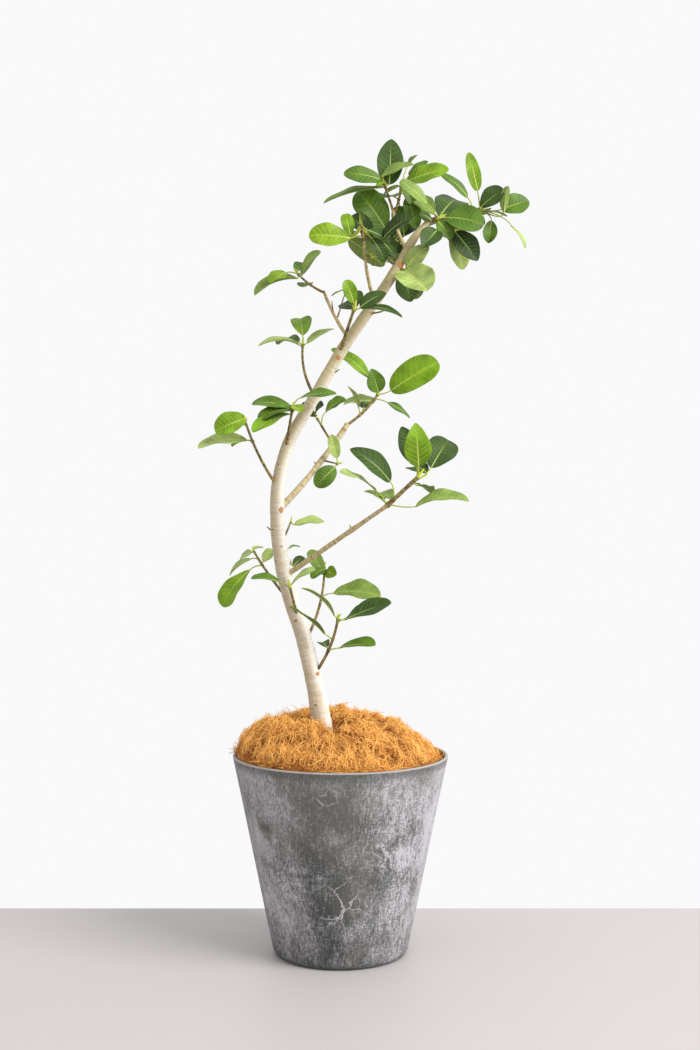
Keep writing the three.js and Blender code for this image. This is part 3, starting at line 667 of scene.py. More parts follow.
class Socket:
    """A shader socket whose arithmetic adds Math nodes."""

    def __init__(self, shader, output):
        self.shader = shader
        self.output = output

    def math(self, operation, *values):
        """A Math node's result for these values."""
        return self.shader.node("ShaderNodeMath", dict(enumerate(values)), operation=operation)

    def __add__(self, other):
        return self.math("ADD", self, other)

    def __sub__(self, other):
        return self.math("SUBTRACT", self, other)

    def __rsub__(self, other):
        return self.math("SUBTRACT", other, self)

    def __mul__(self, other):
        return self.math("MULTIPLY", self, other)

    def __abs__(self):
        return self.math("ABSOLUTE", self)

    def sine(self):
        """The sine of an angle in radians."""
        return self.math("SINE", self)

    __radd__ = __add__
    __rmul__ = __mul__


class Shader:
    """A material's nodes, built up by plain expressions."""

    def __init__(self, name, **surface):
        self.material = bpy.data.materials.new(name)
        self.material.use_nodes = True
        self.tree = self.material.node_tree
        self.surface = self.tree.nodes["Principled BSDF"]
        for socket, value in surface.items():
            self.surface.inputs[socket.replace("_", " ")].default_value = value

    def node(self, kind, inputs=None, output=0, **settings):
        """A new node's output: its settings are set first, then its sockets' values or links."""
        node = self.tree.nodes.new(kind)
        for name, value in settings.items():
            setattr(node, name, value)
        for name, value in (inputs or {}).items():
            if isinstance(value, Socket):
                self.tree.links.new(value.output, node.inputs[name])
            else:
                node.inputs[name].default_value = value
        return Socket(self, node.outputs[output])

    def stretch(self, place, *scale):
        """A place with its coordinates scaled."""
        return self.node("ShaderNodeMapping", {"Vector": place, "Scale": scale})

    def place(self, *scale):
        """The object's own coordinates, in metres, and scaled where a scale is given."""
        spot = self.node("ShaderNodeTexCoord", output="Object")
        return self.stretch(spot, *(scale or (1, 1, 1)))

    def axis(self, place, name):
        """One coordinate of a place."""
        return self.node("ShaderNodeSeparateXYZ", {"Vector": place}, name)

    def vector_math(self, operation, output, *values, **more):
        """A Vector Math node's result for these values."""
        inputs = {**dict(enumerate(values)), **more}
        return self.node("ShaderNodeVectorMath", inputs, output, operation=operation)

    def gap(self, place, spot):
        """How far a place is from a spot that is given in millimetres."""
        return self.vector_math("DISTANCE", "Value", place, [c * MM for c in spot])

    def attribute(self, name, output="Fac"):
        """A value that the mesh carries."""
        return self.node("ShaderNodeAttribute", None, output, attribute_name=name)

    def noise(self, place, scale, detail=4.0, rough=0.55, warp=0.0, output=0):
        """Noise from 0 to 1, or as a colour."""
        inputs = {"Vector": place, "Scale": scale, "Detail": detail, "Roughness": rough}
        return self.node("ShaderNodeTexNoise", {**inputs, "Distortion": warp}, output)

    def step(self, value, low, high):
        """A smooth step: 0 below low and 1 above high."""
        inputs = {"Value": value, "From Min": low, "From Max": high}
        return self.node("ShaderNodeMapRange", inputs, interpolation_type="SMOOTHSTEP")

    def mix(self, amount, low, high):
        """A colour between two colours."""
        low, high = (c if isinstance(c, Socket) else (*c, 1) for c in (low, high))
        return self.node("ShaderNodeMix", {0: amount, 6: low, 7: high}, 2, data_type="RGBA")

    def bump(self, height, distance, strength=1.0):
        """Relief from a height, in metres."""
        inputs = {"Height": height, "Distance": distance, "Strength": strength}
        self.wire("Normal", self.node("ShaderNodeBump", inputs))

    def wire(self, socket, value):
        """Feeds one of the surface's sockets."""
        self.tree.links.new(value.output, self.surface.inputs[socket])


def tinted(colour, factor, lift=0.0):
    """A colour made darker or lighter, up to white."""
    return tuple(min(1, c * factor + lift) for c in colour)


# Where the pot's surface is paler or darker on its front: partly its own chalky and dark patches and
# partly painted light, paler towards its right and left edges and darker in its middle. Each is right,
# back, up, reach and how much paler
POT_PATCHES_AND_PAINTED_LIGHT = (
    (104, -110, 187, 26, 0.8), (74, -120, 118, 46, 0.2), (60, -115, 60, 45, 0.2),
    (73, -155, 292, 46, 0.3), (160, -50, 285, 60, 0.45), (145, -45, 200, 60, 0.54),
    (125, -30, 100, 50, 0.5), (-120, -120, 290, 60, 0.54), (-130, -80, 210, 45, 0.62),
    (-105, -80, 110, 60, 0.64), (-28, -165, 280, 42, -0.55), (-40, -145, 215, 36, -0.38),
    (20, -160, 245, 32, -0.4), (12, -150, 190, 44, -0.12), (-10, -140, 110, 36, -0.54),
    (-45, -120, 60, 36, -0.1), (36, -130, 130, 44, -0.42), (72, -125, 160, 30, -0.26),
    (-125, -100, 236, 18, -1.3), (30, -120, 10, 50, -0.25), (-68, -125, 60, 50, 0.34),
    (-68, -135, 150, 40, 0.26), (-85, -145, 318, 30, -0.36), (82, -140, 232, 30, 0.26),
)
PATCH_STRENGTH = 0.62
# Where fine pale cracks show, and the rings that the bold ones bend along: middle and reach
CRACKED = ((0, -140, 115, 40), (-12, -160, 300, 22), (70, -130, 200, 30))
ARCS = ((18, -145, 102, 26), (80, -130, 175, 26))
# Half widths of a bold crack, and of a fine one as a share of the cells that it parts
ARC_WIDTH = 0.0022
CRACK_WIDTH = 0.05
# From where to where the surface darkens under the lip and turns pale at its edge, a painted highlight
# with some wear, in metres down from the lip, and from where to where the painted contact shadow at
# the foot ends, in metres up
LIP_SHADE = (0.022, 0.005)
LIP_WEAR_AND_HIGHLIGHT = (0.003, 0.0018)
FOOT_SHADE = (0.003, 0.012)


def near_spot(shader, place, spot, ragged):
    """How near a place is to a spot, from 0 outside its reach to 1 in its middle."""
    *middle, reach = spot
    return 1 - shader.step(shader.gap(place, middle) + ragged, 0.0, reach * MM * 1.5)


def pot_material(colours):
    """Charcoal stoneware: short brushed strokes, clouds, chalky patches, crackle, painted light and
    shade.
    """
    shader = Shader("pot stone", Specular_IOR_Level=0.35, Coat_Weight=0.04, Coat_Roughness=0.4)
    place = shader.place()
    upright = shader.place(1, 1, 0.13)
    level = shader.place(0.3, 0.3, 1)
    ragged = (shader.noise(place, 30, 6, 0.68) - 0.5) * 0.09
    chalk_and_painted_light = shader.noise(place, 8, 4, 0.6, 0.8) * 0.5 - 0.25
    # The patches paint light over the pot's own patches: paler towards its edges, darker in its middle
    for *spot, paler in POT_PATCHES_AND_PAINTED_LIGHT:
        chalk_and_painted_light = chalk_and_painted_light + near_spot(shader, place, spot, ragged) * (paler * PATCH_STRENGTH)
    clouds = shader.noise(place, 17, 6, 0.66, 0.9) - 0.5
    streaks = shader.noise(upright, 60, 5, 0.66) - 0.5
    strokes = shader.noise(upright, 330, 4, 0.7) - 0.5
    weave = shader.noise(level, 420, 3, 0.65) - 0.5
    speckle = shader.noise(place, 300, 5, 0.72) - 0.5
    grain = strokes * 0.9 + weave * 0.5 + speckle * 0.9
    right = shader.axis(place, "X") * 6.2
    # Paler towards both sides and a little to the right: painted reflection at the pot's sides and
    # painted light from the right
    ends = abs(right + 0.12)
    tone = chalk_and_painted_light + clouds * 0.75 + streaks * 0.9 + grain * 1.9 + ends * 0.33 + right * 0.02 + 0.32
    base = shader.mix(shader.step(tone, 0.05, 0.55), colours.pot_dark, colours.pot_grey)
    base = shader.mix(shader.step(tone, 0.45, 1.1), base, colours.pot_pale)
    height = shader.axis(place, "Z")
    warm = shader.noise(place, 7, 3, 0.5, 0.3) - right * 0.12 + (height - 0.17) * 0.8
    base = shader.mix(shader.step(warm, 0.38, 0.62) * 0.3, base, colours.pot_warm)
    marble = abs(shader.noise(shader.place(1, 1, 0.7), 60, 9, 0.72, 1.2) - 0.5)
    veins = (1 - shader.step(marble, 0.0, 0.03)) * shader.step(chalk_and_painted_light + clouds, -0.1, 0.35)
    warp = shader.noise(place, 34, 8, 0.72, output="Color")
    warp = shader.vector_math("SCALE", "Vector", warp, Scale=0.036)
    warp = shader.vector_math("ADD", "Vector", place, warp)
    cells = {"Vector": warp, "Scale": 26}
    crackle = shader.node("ShaderNodeTexVoronoi", cells, feature="DISTANCE_TO_EDGE")
    cracked = sum(near_spot(shader, place, spot, ragged) for spot in CRACKED)
    cracks = (1 - shader.step(crackle, 0.0, CRACK_WIDTH)) * cracked
    for *middle, reach in ARCS:
        off = abs(shader.gap(warp, middle) - reach * MM)
        cracks = cracks + (1 - shader.step(off, 0.0, ARC_WIDTH)) * cracked
    pale = veins * 0.3 * (1 - cracked) + cracks * 0.9
    base = shader.mix(pale, base, colours.pot_vein)
    shade = shader.step(height + streaks * 0.02, *(POT_TOP.z - down for down in LIP_SHADE))
    # A painted contact shadow darkens the foot
    foot = 1 - shader.step(height + speckle * 0.004, *FOOT_SHADE)
    base = shader.mix(shade * 0.6 + foot * 0.6, base, colours.pot_dark)
    # The pale edge along the lip's top is a painted highlight with some wear
    worn = shader.step(height + speckle * 0.001, *(POT_TOP.z - down for down in LIP_WEAR_AND_HIGHLIGHT))
    base = shader.mix(worn * 0.8, base, colours.pot_lip)
    shader.wire("Base Color", base)
    shader.wire("Roughness", 0.68 - pale * 0.14 + clouds * 0.1)
    shader.bump(streaks * 0.5 + pale * 0.4 + grain * 0.5, 0.0011, 0.6)
    return shader.material


def crumbly_material(name, dark, light, rough, grain, relief):
    """A crumbly surface between two tones, for the soil and the pot's dark inside: grain is its noise's
    scale, detail and roughness.
    """
    shader = Shader(name, Specular_IOR_Level=0.2, Roughness=rough)
    crumbs = shader.noise(shader.place(), *grain)
    shader.wire("Base Color", shader.mix(crumbs, dark, light))
    shader.bump(crumbs, relief)
    return shader.material


def coir_material(name, dark, light):
    """Matt coconut fibre, lighter and darker in patches and from thread to thread."""
    shader = Shader(name, Specular_IOR_Level=0.2, Roughness=0.9)
    place = shader.place()
    patches = shader.step(shader.noise(place, 34, 3, 0.55, 0.5), 0.34, 0.66)
    threads = shader.noise(place, 520, 3, 0.6)
    mixed = patches * 0.35 + shader.step(threads, 0.3, 0.7) * 0.65
    shader.wire("Base Color", shader.mix(mixed, dark, light))
    shader.bump(threads, 0.0004, 0.6)
    return shader.material


# The heights in metres between which the bark turns browner as it climbs and greener on its shaded left
# side, which is painted shade, and between which it darkens to olive and loses its painted light on the
# right, as painted shade under the crown
CLIMB = (0.7, 1.2)
CROWN_SHADE = (1.03, 1.2)


def bark_material(colours):
    """Pale bark with fine rings across the limb, painted light, painted olive shade and orange-brown
    scars.
    """
    shader = Shader("banyan bark", Specular_IOR_Level=0.25)
    limb = shader.attribute("limb_place", "Vector")
    ringed = shader.stretch(limb, 0.12, 0.12, 1)
    long = shader.stretch(limb, 1, 1, 0.3)
    place = shader.place()
    # Each limb's right side faces the window's light: the marks below paint light on it, and olive
    # shade on its left
    right = 1 - shader.step(shader.axis(limb, "X"), -0.012, 0.003)
    height = shader.axis(place, "Z")
    # Painted shade under the crown: higher up, the bark darkens to olive and loses its painted light
    high = shader.step(height, *CROWN_SHADE)
    climb = shader.step(height, *CLIMB)
    blotches = shader.noise(long, 62, 5, 0.64, 0.5) * 0.62 + right * 0.38
    blotches = shader.step(blotches - high * 0.16, 0.28, 0.66)
    rings = shader.noise(ringed, 260, 5, 0.66)
    flecks = shader.step(shader.noise(ringed, 620, 3, 0.6), 0.6, 0.74)
    specks = shader.step(shader.noise(place, 330, 3, 0.6), 0.62, 0.72)
    # Pale patches on the lit right side only, and fewer under the crown: painted light
    painted_lit_white = shader.step(shader.noise(long, 38, 4), 0.3, 0.55) * right * (1 - high * 0.7)
    white = shader.step(rings, 0.42, 0.72) * 0.22 + painted_lit_white * 0.8
    grooves = 1 - shader.step(rings, 0.34, 0.42)
    tan = shader.mix(shader.step(rings, 0.35, 0.65), colours.bough_brown, colours.bough_tan)
    ragged = (shader.noise(place, 260, 3) - 0.5) * 0.5
    knot = shader.step(shader.attribute("knot") + ragged, 0.2, 0.8)
    scar = shader.step(shader.attribute("scar") + ragged * 1.5, 0.2, 0.75)
    base = shader.mix(blotches, colours.bark_olive, colours.bark_cream)
    for amount, colour in (
        (white, colours.bark_white),
        (climb * 0.55, colours.bough_tan),
        # Greener on the shaded left side as it climbs: painted shade
        (climb * (1 - right) * 0.4, colours.twig_green),
        (grooves * 0.22, colours.bough_brown),
        (flecks * 0.36 + specks * 0.24, colours.bark_fleck),
        (shader.attribute("youth"), tan),
        (knot * 0.95, colours.bark_fleck),
        (scar * 0.95, colours.bark_scar),
        (scar * (1 - scar) * 2.4, colours.bark_fleck),
    ):
        base = shader.mix(amount, base, colour)
    shader.wire("Base Color", base)
    shader.wire("Roughness", 0.62 + blotches * 0.14)
    shader.bump(rings * 0.5 + shader.noise(place, 420, 4) * 0.5, 0.0008, 0.6)
    return shader.material


def twig_material(colours):
    """Young bark in short dark and light rings, greener towards the growing tip."""
    shader = Shader("twig bark", Specular_IOR_Level=0.3, Roughness=0.6)
    place = shader.place()
    grain = shader.noise(place, 150, 5, 0.66)
    base = shader.mix(shader.step(grain, 0.36, 0.62), colours.twig_dark, colours.twig_brown)
    green = shader.step(shader.attribute("tip") + (grain - 0.5) * 0.7, 0.72, 1.05)
    base = shader.mix(green * 0.8, base, colours.twig_green)
    shader.wire("Base Color", base)
    shader.bump(shader.noise(place, 500, 3), 0.0006, 0.7)
    return shader.material


# The side veins that a blade's relief follows: how closely they stand, how far they slant towards the
# tip on their way out, both in radians, and how much further on they start on one side
QUILT_TURNS = 54
QUILT_SLANT = 9.2
QUILT_SHIFT = 0.044


def blade_quilt(shader):
    """How a blade swells between its side veins, and how far out from its midrib it lies."""
    blade = shader.node("ShaderNodeUVMap", uv_map="blade")
    across = shader.axis(blade, "Y")
    out = abs(across * 2 - 1)
    along = shader.axis(blade, "X") - shader.step(across, 0.49, 0.51) * QUILT_SHIFT
    return (along * QUILT_TURNS - out * QUILT_SLANT + 0.5).sine(), out


def underside_material(name, colour):
    """A leaf's matt underside, with its side veins as paler ribs."""
    shader = Shader(name, Specular_IOR_Level=0.2, Roughness=0.68)
    quilt, out = blade_quilt(shader)
    cloud = shader.noise(shader.place(), 50, 4, 0.6)
    rib = tinted(colour, 1.35, 0.03)
    base = shader.mix(cloud, tinted(colour, 0.86), tinted(colour, 1.06))
    ribs = 1 - shader.step(quilt, -1.0, -0.3)
    base = shader.mix(ribs * 0.36, base, rib)
    base = shader.mix((1 - shader.step(out, 0.0, 0.12)) * 0.5, base, rib)
    shader.wire("Base Color", base)
    shader.bump(ribs, 0.0008, 0.6)
    return shader.material


def blade_material(name, colour):
    """A leaf's upper side: its tone, with a soft quilt between its side veins."""
    shader = Shader(name, Specular_IOR_Level=0.2, Coat_Weight=0.06, Coat_Roughness=0.22)
    quilt, out = blade_quilt(shader)
    cloud = shader.noise(shader.place(), 38, 4, 0.55)
    light = tinted(colour, 1.26, 0.004)
    yellow = (light[0] * 1.5 + 0.02, light[1] * 1.2 + 0.02, light[2])
    base = shader.mix(shader.step(cloud, 0.28, 0.72), tinted(colour, 0.72), light)
    ribs = 1 - shader.step(quilt, -1.0, -0.7)
    base = shader.mix(ribs * 0.12 + (1 - shader.step(out, 0.0, 0.16)) * 0.4, base, yellow)
    shader.wire("Base Color", base)
    shader.wire("Roughness", 0.4 + cloud * 0.2)
    shader.bump(quilt * 0.2 + cloud * 0.6, 0.0008, 0.6)
    return shader.material


def plain_leaf_material(name, colour, rough=0.5):
    """A leaf's stalk, vein or bud: one soft tone with a little variety."""
    shader = Shader(name, Specular_IOR_Level=0.25, Roughness=rough)
    place = shader.place()
    cloud = shader.noise(place, 60, 4, 0.6)
    shader.wire("Base Color", shader.mix(cloud, tinted(colour, 0.75), tinted(colour, 1.2)))
    shader.bump(shader.noise(place, 300, 3), 0.0003, 0.5)
    return shader.material


def length_setting(name, description, default):
    """A setting in metres."""
    return FloatProperty(
        name=name, description=description, default=default, subtype="DISTANCE", unit="LENGTH",
        precision=4,
    )


def colour_setting(name, description, *default):
    """A colour setting, in linear red, green and blue."""
    return FloatVectorProperty(
        name=name, description=description, default=default, subtype="COLOR", size=3, min=0, max=1
    )


class BanyanPotSettings(bpy.types.PropertyGroup):
    """Sizes of the pot and its topping."""

    rim: length_setting("Rim radius", "From the axis to the lip's outside", POT_TOP.x)
    foot: length_setting("Foot radius", "From the axis to the foot's outside", 0.115)
    height: length_setting("Height", "From the underside to the lip", POT_TOP.z)
    wall: length_setting("Wall", "Thickness of the wall at the lip", 0.006)
    floor: length_setting("Floor", "Thickness of the floor", 0.010)
    lip: length_setting("Lip edge", "Rounding of the lip's edges", 0.0022)
    recess: length_setting("Foot recess", "How far the foot stands back", 0.004)
    sides: IntProperty(name="Sides", description="Steps round the pot", default=160, min=32)


class BanyanCoirSettings(bpy.types.PropertyGroup):
    """Sizes and numbers of the coconut fibre."""

    fibres: IntProperty(name="Fibres", description="Fibres of all tones", default=21000, min=100)
    length: length_setting("Fibre length", "Length of the longest fibres", 0.05)
    thickness: length_setting("Fibre thickness", "Thickness of a stout fibre", 0.0013)
    loft: length_setting("Loft", "How thick the tangle of loose fibres is", 0.011)


class BanyanPlantSettings(bpy.types.PropertyGroup):
    """Sizes of the plant's fine parts."""

    voxel: length_setting("Bark grid", "Spacing of the bark's mesh", 0.00126)
    ring_relief: length_setting("Bark rings", "Height of the rings in the bark", 0.00016)
    blade: length_setting("Blade", "Thickness of a leaf", 0.0005)
    midrib: length_setting("Midrib", "Thickness of a midrib where it leaves its stalk", 0.0027)
    side_vein: length_setting("Side vein", "Thickness of a side vein at the midrib", 0.00075)
    stalk: length_setting("Leaf stalk", "Thickness of a leaf's stalk", 0.0026)
    bud: length_setting("Bud", "Length of the pointed bud at a shoot's tip", 0.013)


class BanyanColours(bpy.types.PropertyGroup):
    """Colours of the pot, the topping and the plant."""

    # Pot dark also darkens the band under the lip and paints the contact shadow at the foot
    pot_dark: colour_setting("Pot dark", "Darkest clouds of the pot", 0.045, 0.052, 0.05)
    pot_grey: colour_setting("Pot grey", "Main grey of the pot", 0.155, 0.152, 0.15)
    pot_warm: colour_setting("Pot warm", "Brownish clouds of the pot", 0.22, 0.195, 0.175)
    pot_pale: colour_setting("Pot pale", "Pale streaks of the pot", 0.46, 0.445, 0.48)
    pot_vein: colour_setting("Pot vein", "Marbling and scuffs of the pot", 0.6, 0.57, 0.6)
    # The lip's pale edge is a painted highlight with some wear
    pot_lip: colour_setting("Pot lip", "Worn edge of the lip", 0.4, 0.36, 0.33)
    soil_dark: colour_setting("Soil dark", "Darkest crumbs of the soil", 0.02, 0.012, 0.008)
    # Soil brown is also the dark of the coir's core, which shows between the fibres partly as painted
    # shade
    soil_brown: colour_setting("Soil brown", "Lightest crumbs of the soil", 0.09, 0.055, 0.03)
    coir_gold: colour_setting("Coir gold", "Lightest fibres", 1.0, 0.56, 0.15)
    coir_orange: colour_setting("Coir orange", "Main tone of the fibres", 0.64, 0.225, 0.04)
    coir_brown: colour_setting("Coir brown", "Darkest fibres and hollows", 0.2, 0.065, 0.022)
    # Bark white is also painted light on the limbs' right sides, and bark olive partly painted shade on
    # their left and under the crown
    bark_white: colour_setting("Bark white", "Lightest bark", 0.78, 0.755, 0.7)
    bark_cream: colour_setting("Bark cream", "Main tone of the trunk", 0.56, 0.485, 0.375)
    bark_olive: colour_setting("Bark olive", "Olive-brown shade of the trunk", 0.47, 0.385, 0.265)
    bark_fleck: colour_setting("Bark fleck", "Short dark flecks across the bark", 0.16, 0.09, 0.045)
    bark_scar: colour_setting("Bark scar", "Scars where leaves and twigs fell", 0.56, 0.2, 0.035)
    bough_brown: colour_setting("Bough brown", "Darker tone of the boughs", 0.26, 0.195, 0.075)
    bough_tan: colour_setting("Bough tan", "Lighter tone of the boughs", 0.58, 0.47, 0.23)
    twig_dark: colour_setting("Twig dark", "Darker tone of the twigs", 0.055, 0.04, 0.015)
    twig_brown: colour_setting("Twig brown", "Lighter tone of the twigs", 0.3, 0.21, 0.06)
    # Twig green also tints the bark's shaded left side higher up, as painted shade
    twig_green: colour_setting("Twig green", "Twigs near their growing tips", 0.2, 0.2, 0.05)
    # The leaf tones run from dark to pale partly as the leaves' own greens and partly as painted light
    # and shade; the dark tone is painted shade for leaves in the crown's shade
    dark: colour_setting("Dark leaf", "Darkest leaves, in the crown's shade", 0.016, 0.038, 0.004)
    deep: colour_setting("Deep leaf", "Dark green leaves", 0.031, 0.068, 0.008)
    green: colour_setting("Green leaf", "Middle green leaves", 0.07, 0.145, 0.009)
    bright: colour_setting("Bright leaf", "Bright green leaves", 0.142, 0.265, 0.007)
    lime: colour_setting("Lime leaf", "Young lime leaves", 0.178, 0.295, 0.008)
    olive: colour_setting("Olive leaf", "Grey-green leaves", 0.17, 0.255, 0.046)
    pale: colour_setting("Pale leaf", "Pale leaves", 0.3, 0.39, 0.11)
    under: colour_setting("Underside", "Tone that leaves lean to on their undersides", 0.2, 0.26, 0.08)
    vein_green: colour_setting("Vein green", "Veins of the darker leaves", 0.36, 0.46, 0.12)
    vein_yellow: colour_setting("Vein yellow", "Veins of the lighter leaves", 0.5, 0.56, 0.14)
    stalk: colour_setting("Stalk", "Leaf stalks", 0.36, 0.42, 0.05)
    bud: colour_setting("Bud", "Growing tips", 0.5, 0.56, 0.05)


class BanyanStageSettings(bpy.types.PropertyGroup):
    """The camera, the floor and the light."""

    lens: FloatProperty(name="Lens", description="Focal length in millimetres", default=50)
    distance: length_setting("Distance", "From the camera to the pot's axis", 2.509)
    eye: length_setting("Eye height", "Height of the camera over the floor", 0.769)
    aside: length_setting("Aside", "How far the camera stands to the right", 0.0164)
    pitch: FloatProperty(
        name="Pitch", description="How far the camera looks down", default=math.radians(0.79),
        subtype="ANGLE", unit="ROTATION",
    )
    floor_back: length_setting("Floor behind", "How far the floor reaches behind the pot", 0.262)
    floor_size: length_setting("Floor size", "How far the floor reaches to the other sides", 6.0)
    floor: colour_setting("Floor", "Colour of the floor", 0.455, 0.425, 0.417)
    sky: colour_setting("Surroundings", "Colour of the bright room", 0.95, 0.95, 0.955)
    sky_light: FloatProperty(name="Room light", description="Strength of the room", default=1.0)
    key_light: FloatProperty(name="Key light", description="Watts of the window light", default=430)


def pot_profile(sizes):
    """The pot's outline as (radius, height), from its underside up its wall and down inside."""
    foot, top = sizes.foot, sizes.height
    slope = (sizes.rim - foot) / top
    step = sizes.recess
    profile = [(foot - step, 0), (foot - step, step * 0.7)]
    profile += [(foot - step * 0.1, step), (foot + slope * step * 2, step * 2)]
    profile += [(foot + slope * top * share, top * share) for share in (0.25, 0.5, 0.75)]
    middle = sizes.lip
    for side, centre in ((0, sizes.rim - middle), (90, sizes.rim - sizes.wall + middle)):
        for turn in (0, 30, 60, 90):
            a = math.radians(side + turn)
            profile.append((centre + middle * math.cos(a), top - middle + middle * math.sin(a)))
    profile.append((foot - sizes.wall, sizes.floor))
    return profile


class BANYAN_OT_pot(bpy.types.Operator):
    """Turns up the tapered pot, from its recessed foot to its thin lip and down inside"""

    bl_idname = "banyan.pot"
    bl_label = "Pot"

    def execute(self, context):
        sizes = context.scene.banyan_pot
        colours = context.scene.banyan_colours
        deselect()
        (radius, height), *rings = pot_profile(sizes)
        bpy.ops.mesh.primitive_circle_add(vertices=sizes.sides, radius=radius, fill_type="NGON")
        pot = context.object
        pot.name = "pot_shell"
        bpy.ops.object.mode_set(mode="EDIT")
        for next_radius, next_height in rings:
            rise = (0, 0, next_height - height)
            bpy.ops.mesh.extrude_region_move(TRANSFORM_OT_translate={"value": rise})
            grow = next_radius / radius
            bpy.ops.transform.resize(value=(grow, grow, 1), center_override=(0, 0, next_height))
            radius, height = next_radius, next_height
        bpy.ops.mesh.select_all(action="SELECT")
        bpy.ops.mesh.normals_make_consistent(inside=False)
        bpy.ops.object.mode_set(mode="OBJECT")
        bpy.ops.object.shade_smooth_by_angle(angle=math.radians(34))
        pot.data.materials.append(pot_material(colours))
        # The inside wall: darker all over, from the soil's darkest tone to the pot's darkest grey
        dark_inside = crumbly_material(
            "pot inside", colours.soil_dark, colours.pot_dark,
            rough=0.8, grain=(60, 5, 0.6), relief=0.0006,
        )
        pot.data.materials.append(dark_inside)
        for face in pot.data.polygons:
            inward = face.center.x * face.normal.x + face.center.y * face.normal.y < 0
            face.material_index = int(inward and face.center.z < sizes.height - sizes.lip)
        seat(pot, "pot", "pot")
        return {"FINISHED"}


class BANYAN_OT_soil(bpy.types.Operator):
    """Gives the soil under the topping its crumbly finish"""

    bl_idname = "banyan.soil"
    bl_label = "Soil"

    def execute(self, context):
        colours = context.scene.banyan_colours
        crumbs = crumbly_material(
            "potting soil", colours.soil_dark, colours.soil_brown,
            rough=0.95, grain=(160, 8, 0.7), relief=0.003,
        )
        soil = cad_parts["soil"]
        soil.data.materials.clear()
        soil.data.materials.append(crumbs)
        return {"FINISHED"}


def mound_height(x, y):
    """The height of the coir at places: the source's dome, lumps and dip, in millimetres."""
    r = np.minimum(1, np.hypot(x, y) / MOUND["reach"])
    turn = np.arctan2(y, x)
    fullness = DOME["fullness"] - DOME["fuller_left"] * np.cos(turn)
    shoulder = DOME["shoulder"] + DOME["softer_right"] * np.cos(turn)
    dome = MOUND["rise"] * (1 - r**fullness) ** shoulder
    waves = np.sin(3 * turn + 1 + 3 * r) + np.sin(5 * turn - 2 + 6 * r)
    lumps = MOUND["lump"] * waves * r * (1 - r * r)
    near = np.hypot(x - TRUNK[2][1], y - TRUNK[2][2]) / MOUND["dip_width"]
    base = POT_TOP.z / MM - MOUND["edge"]
    return base + dome + lumps - MOUND["dip"] * np.exp(-near * near)


def fields(x, y, rows):
    """Smooth random heights over the coir, as the sum of rows of height, width and seed."""
    places = np.stack((x, y, np.zeros(x.size)), axis=-1)
    return sum(height * noise(places, size, seed) for height, size, seed in rows)


# The hollows of the coir: right, back, reach and depth
HOLLOWS = (
    (-2, -46, 44, 15), (-95, -20, 60, 5), (-100, -62, 18, 5), (20, -122, 20, 5),
    (52, 20, 26, 6), (108, -92, 16, 4), (-38, -100, 20, 4),
)
# How far the coir has settled since it was laid, and how far it stops short of the wall on the right
SETTLED = 7
SHRUNK = 9
# How wide the band along the wall is, how far the coir sags there, and how far a few fibres spill
# over the lip
RIM_BAND = 20
RIM_SAG = 6
RIM_SPILL = 9
# The coir's tufts, and the patches that one tone of fibres keeps to: height, width and seed
TUFTS = ((3.2, 55, 3), (4.4, 20, 5))
CLUMPS = ((1, 26, 31), (0.9, 11, 37))
# The depth of the core's skirt in metres, its rings of faces, and the points in each
SKIRT = 0.018
CORE_RINGS = 40
CORE_SIDES = 120


def tufts(x, y):
    """The tangled lumps and hollows of the coir, in millimetres."""
    lumps = fields(x, y, TUFTS)
    for right, back, reach, depth in HOLLOWS:
        lumps = lumps - depth * np.exp(-(((x - right) ** 2 + (y - back) ** 2) / reach**2))
    return lumps


def coir_reach(x, y):
    """How far out the coir reaches: to the wall, but a little short of it on the right."""
    right = np.clip(x / np.maximum(np.hypot(x, y), 1), 0, 1)
    return MOUND["reach"] - SHRUNK * right**3


def rim_share(x, y):
    """How near places on the coir are to its edge, from 0 inside the band to 1 at the edge."""
    return np.clip(1 - (coir_reach(x, y) - np.hypot(x, y)) / RIM_BAND, 0, 1)


def tangle_floor(x, y, sunk):
    """The ground that the fibres lie on, this far under the mound's own height."""
    r = np.maximum(np.hypot(x, y), 1)
    reach = coir_reach(x, y)
    inside = np.minimum(r, reach - 1)
    inner = np.clip((reach - inside) / RIM_BAND, 0, 1)
    x, y = x * inside / r, y * inside / r
    full = MOUND["reach"] / reach
    return mound_height(x * full, y * full) + (tufts(x, y) - sunk - SETTLED) * inner


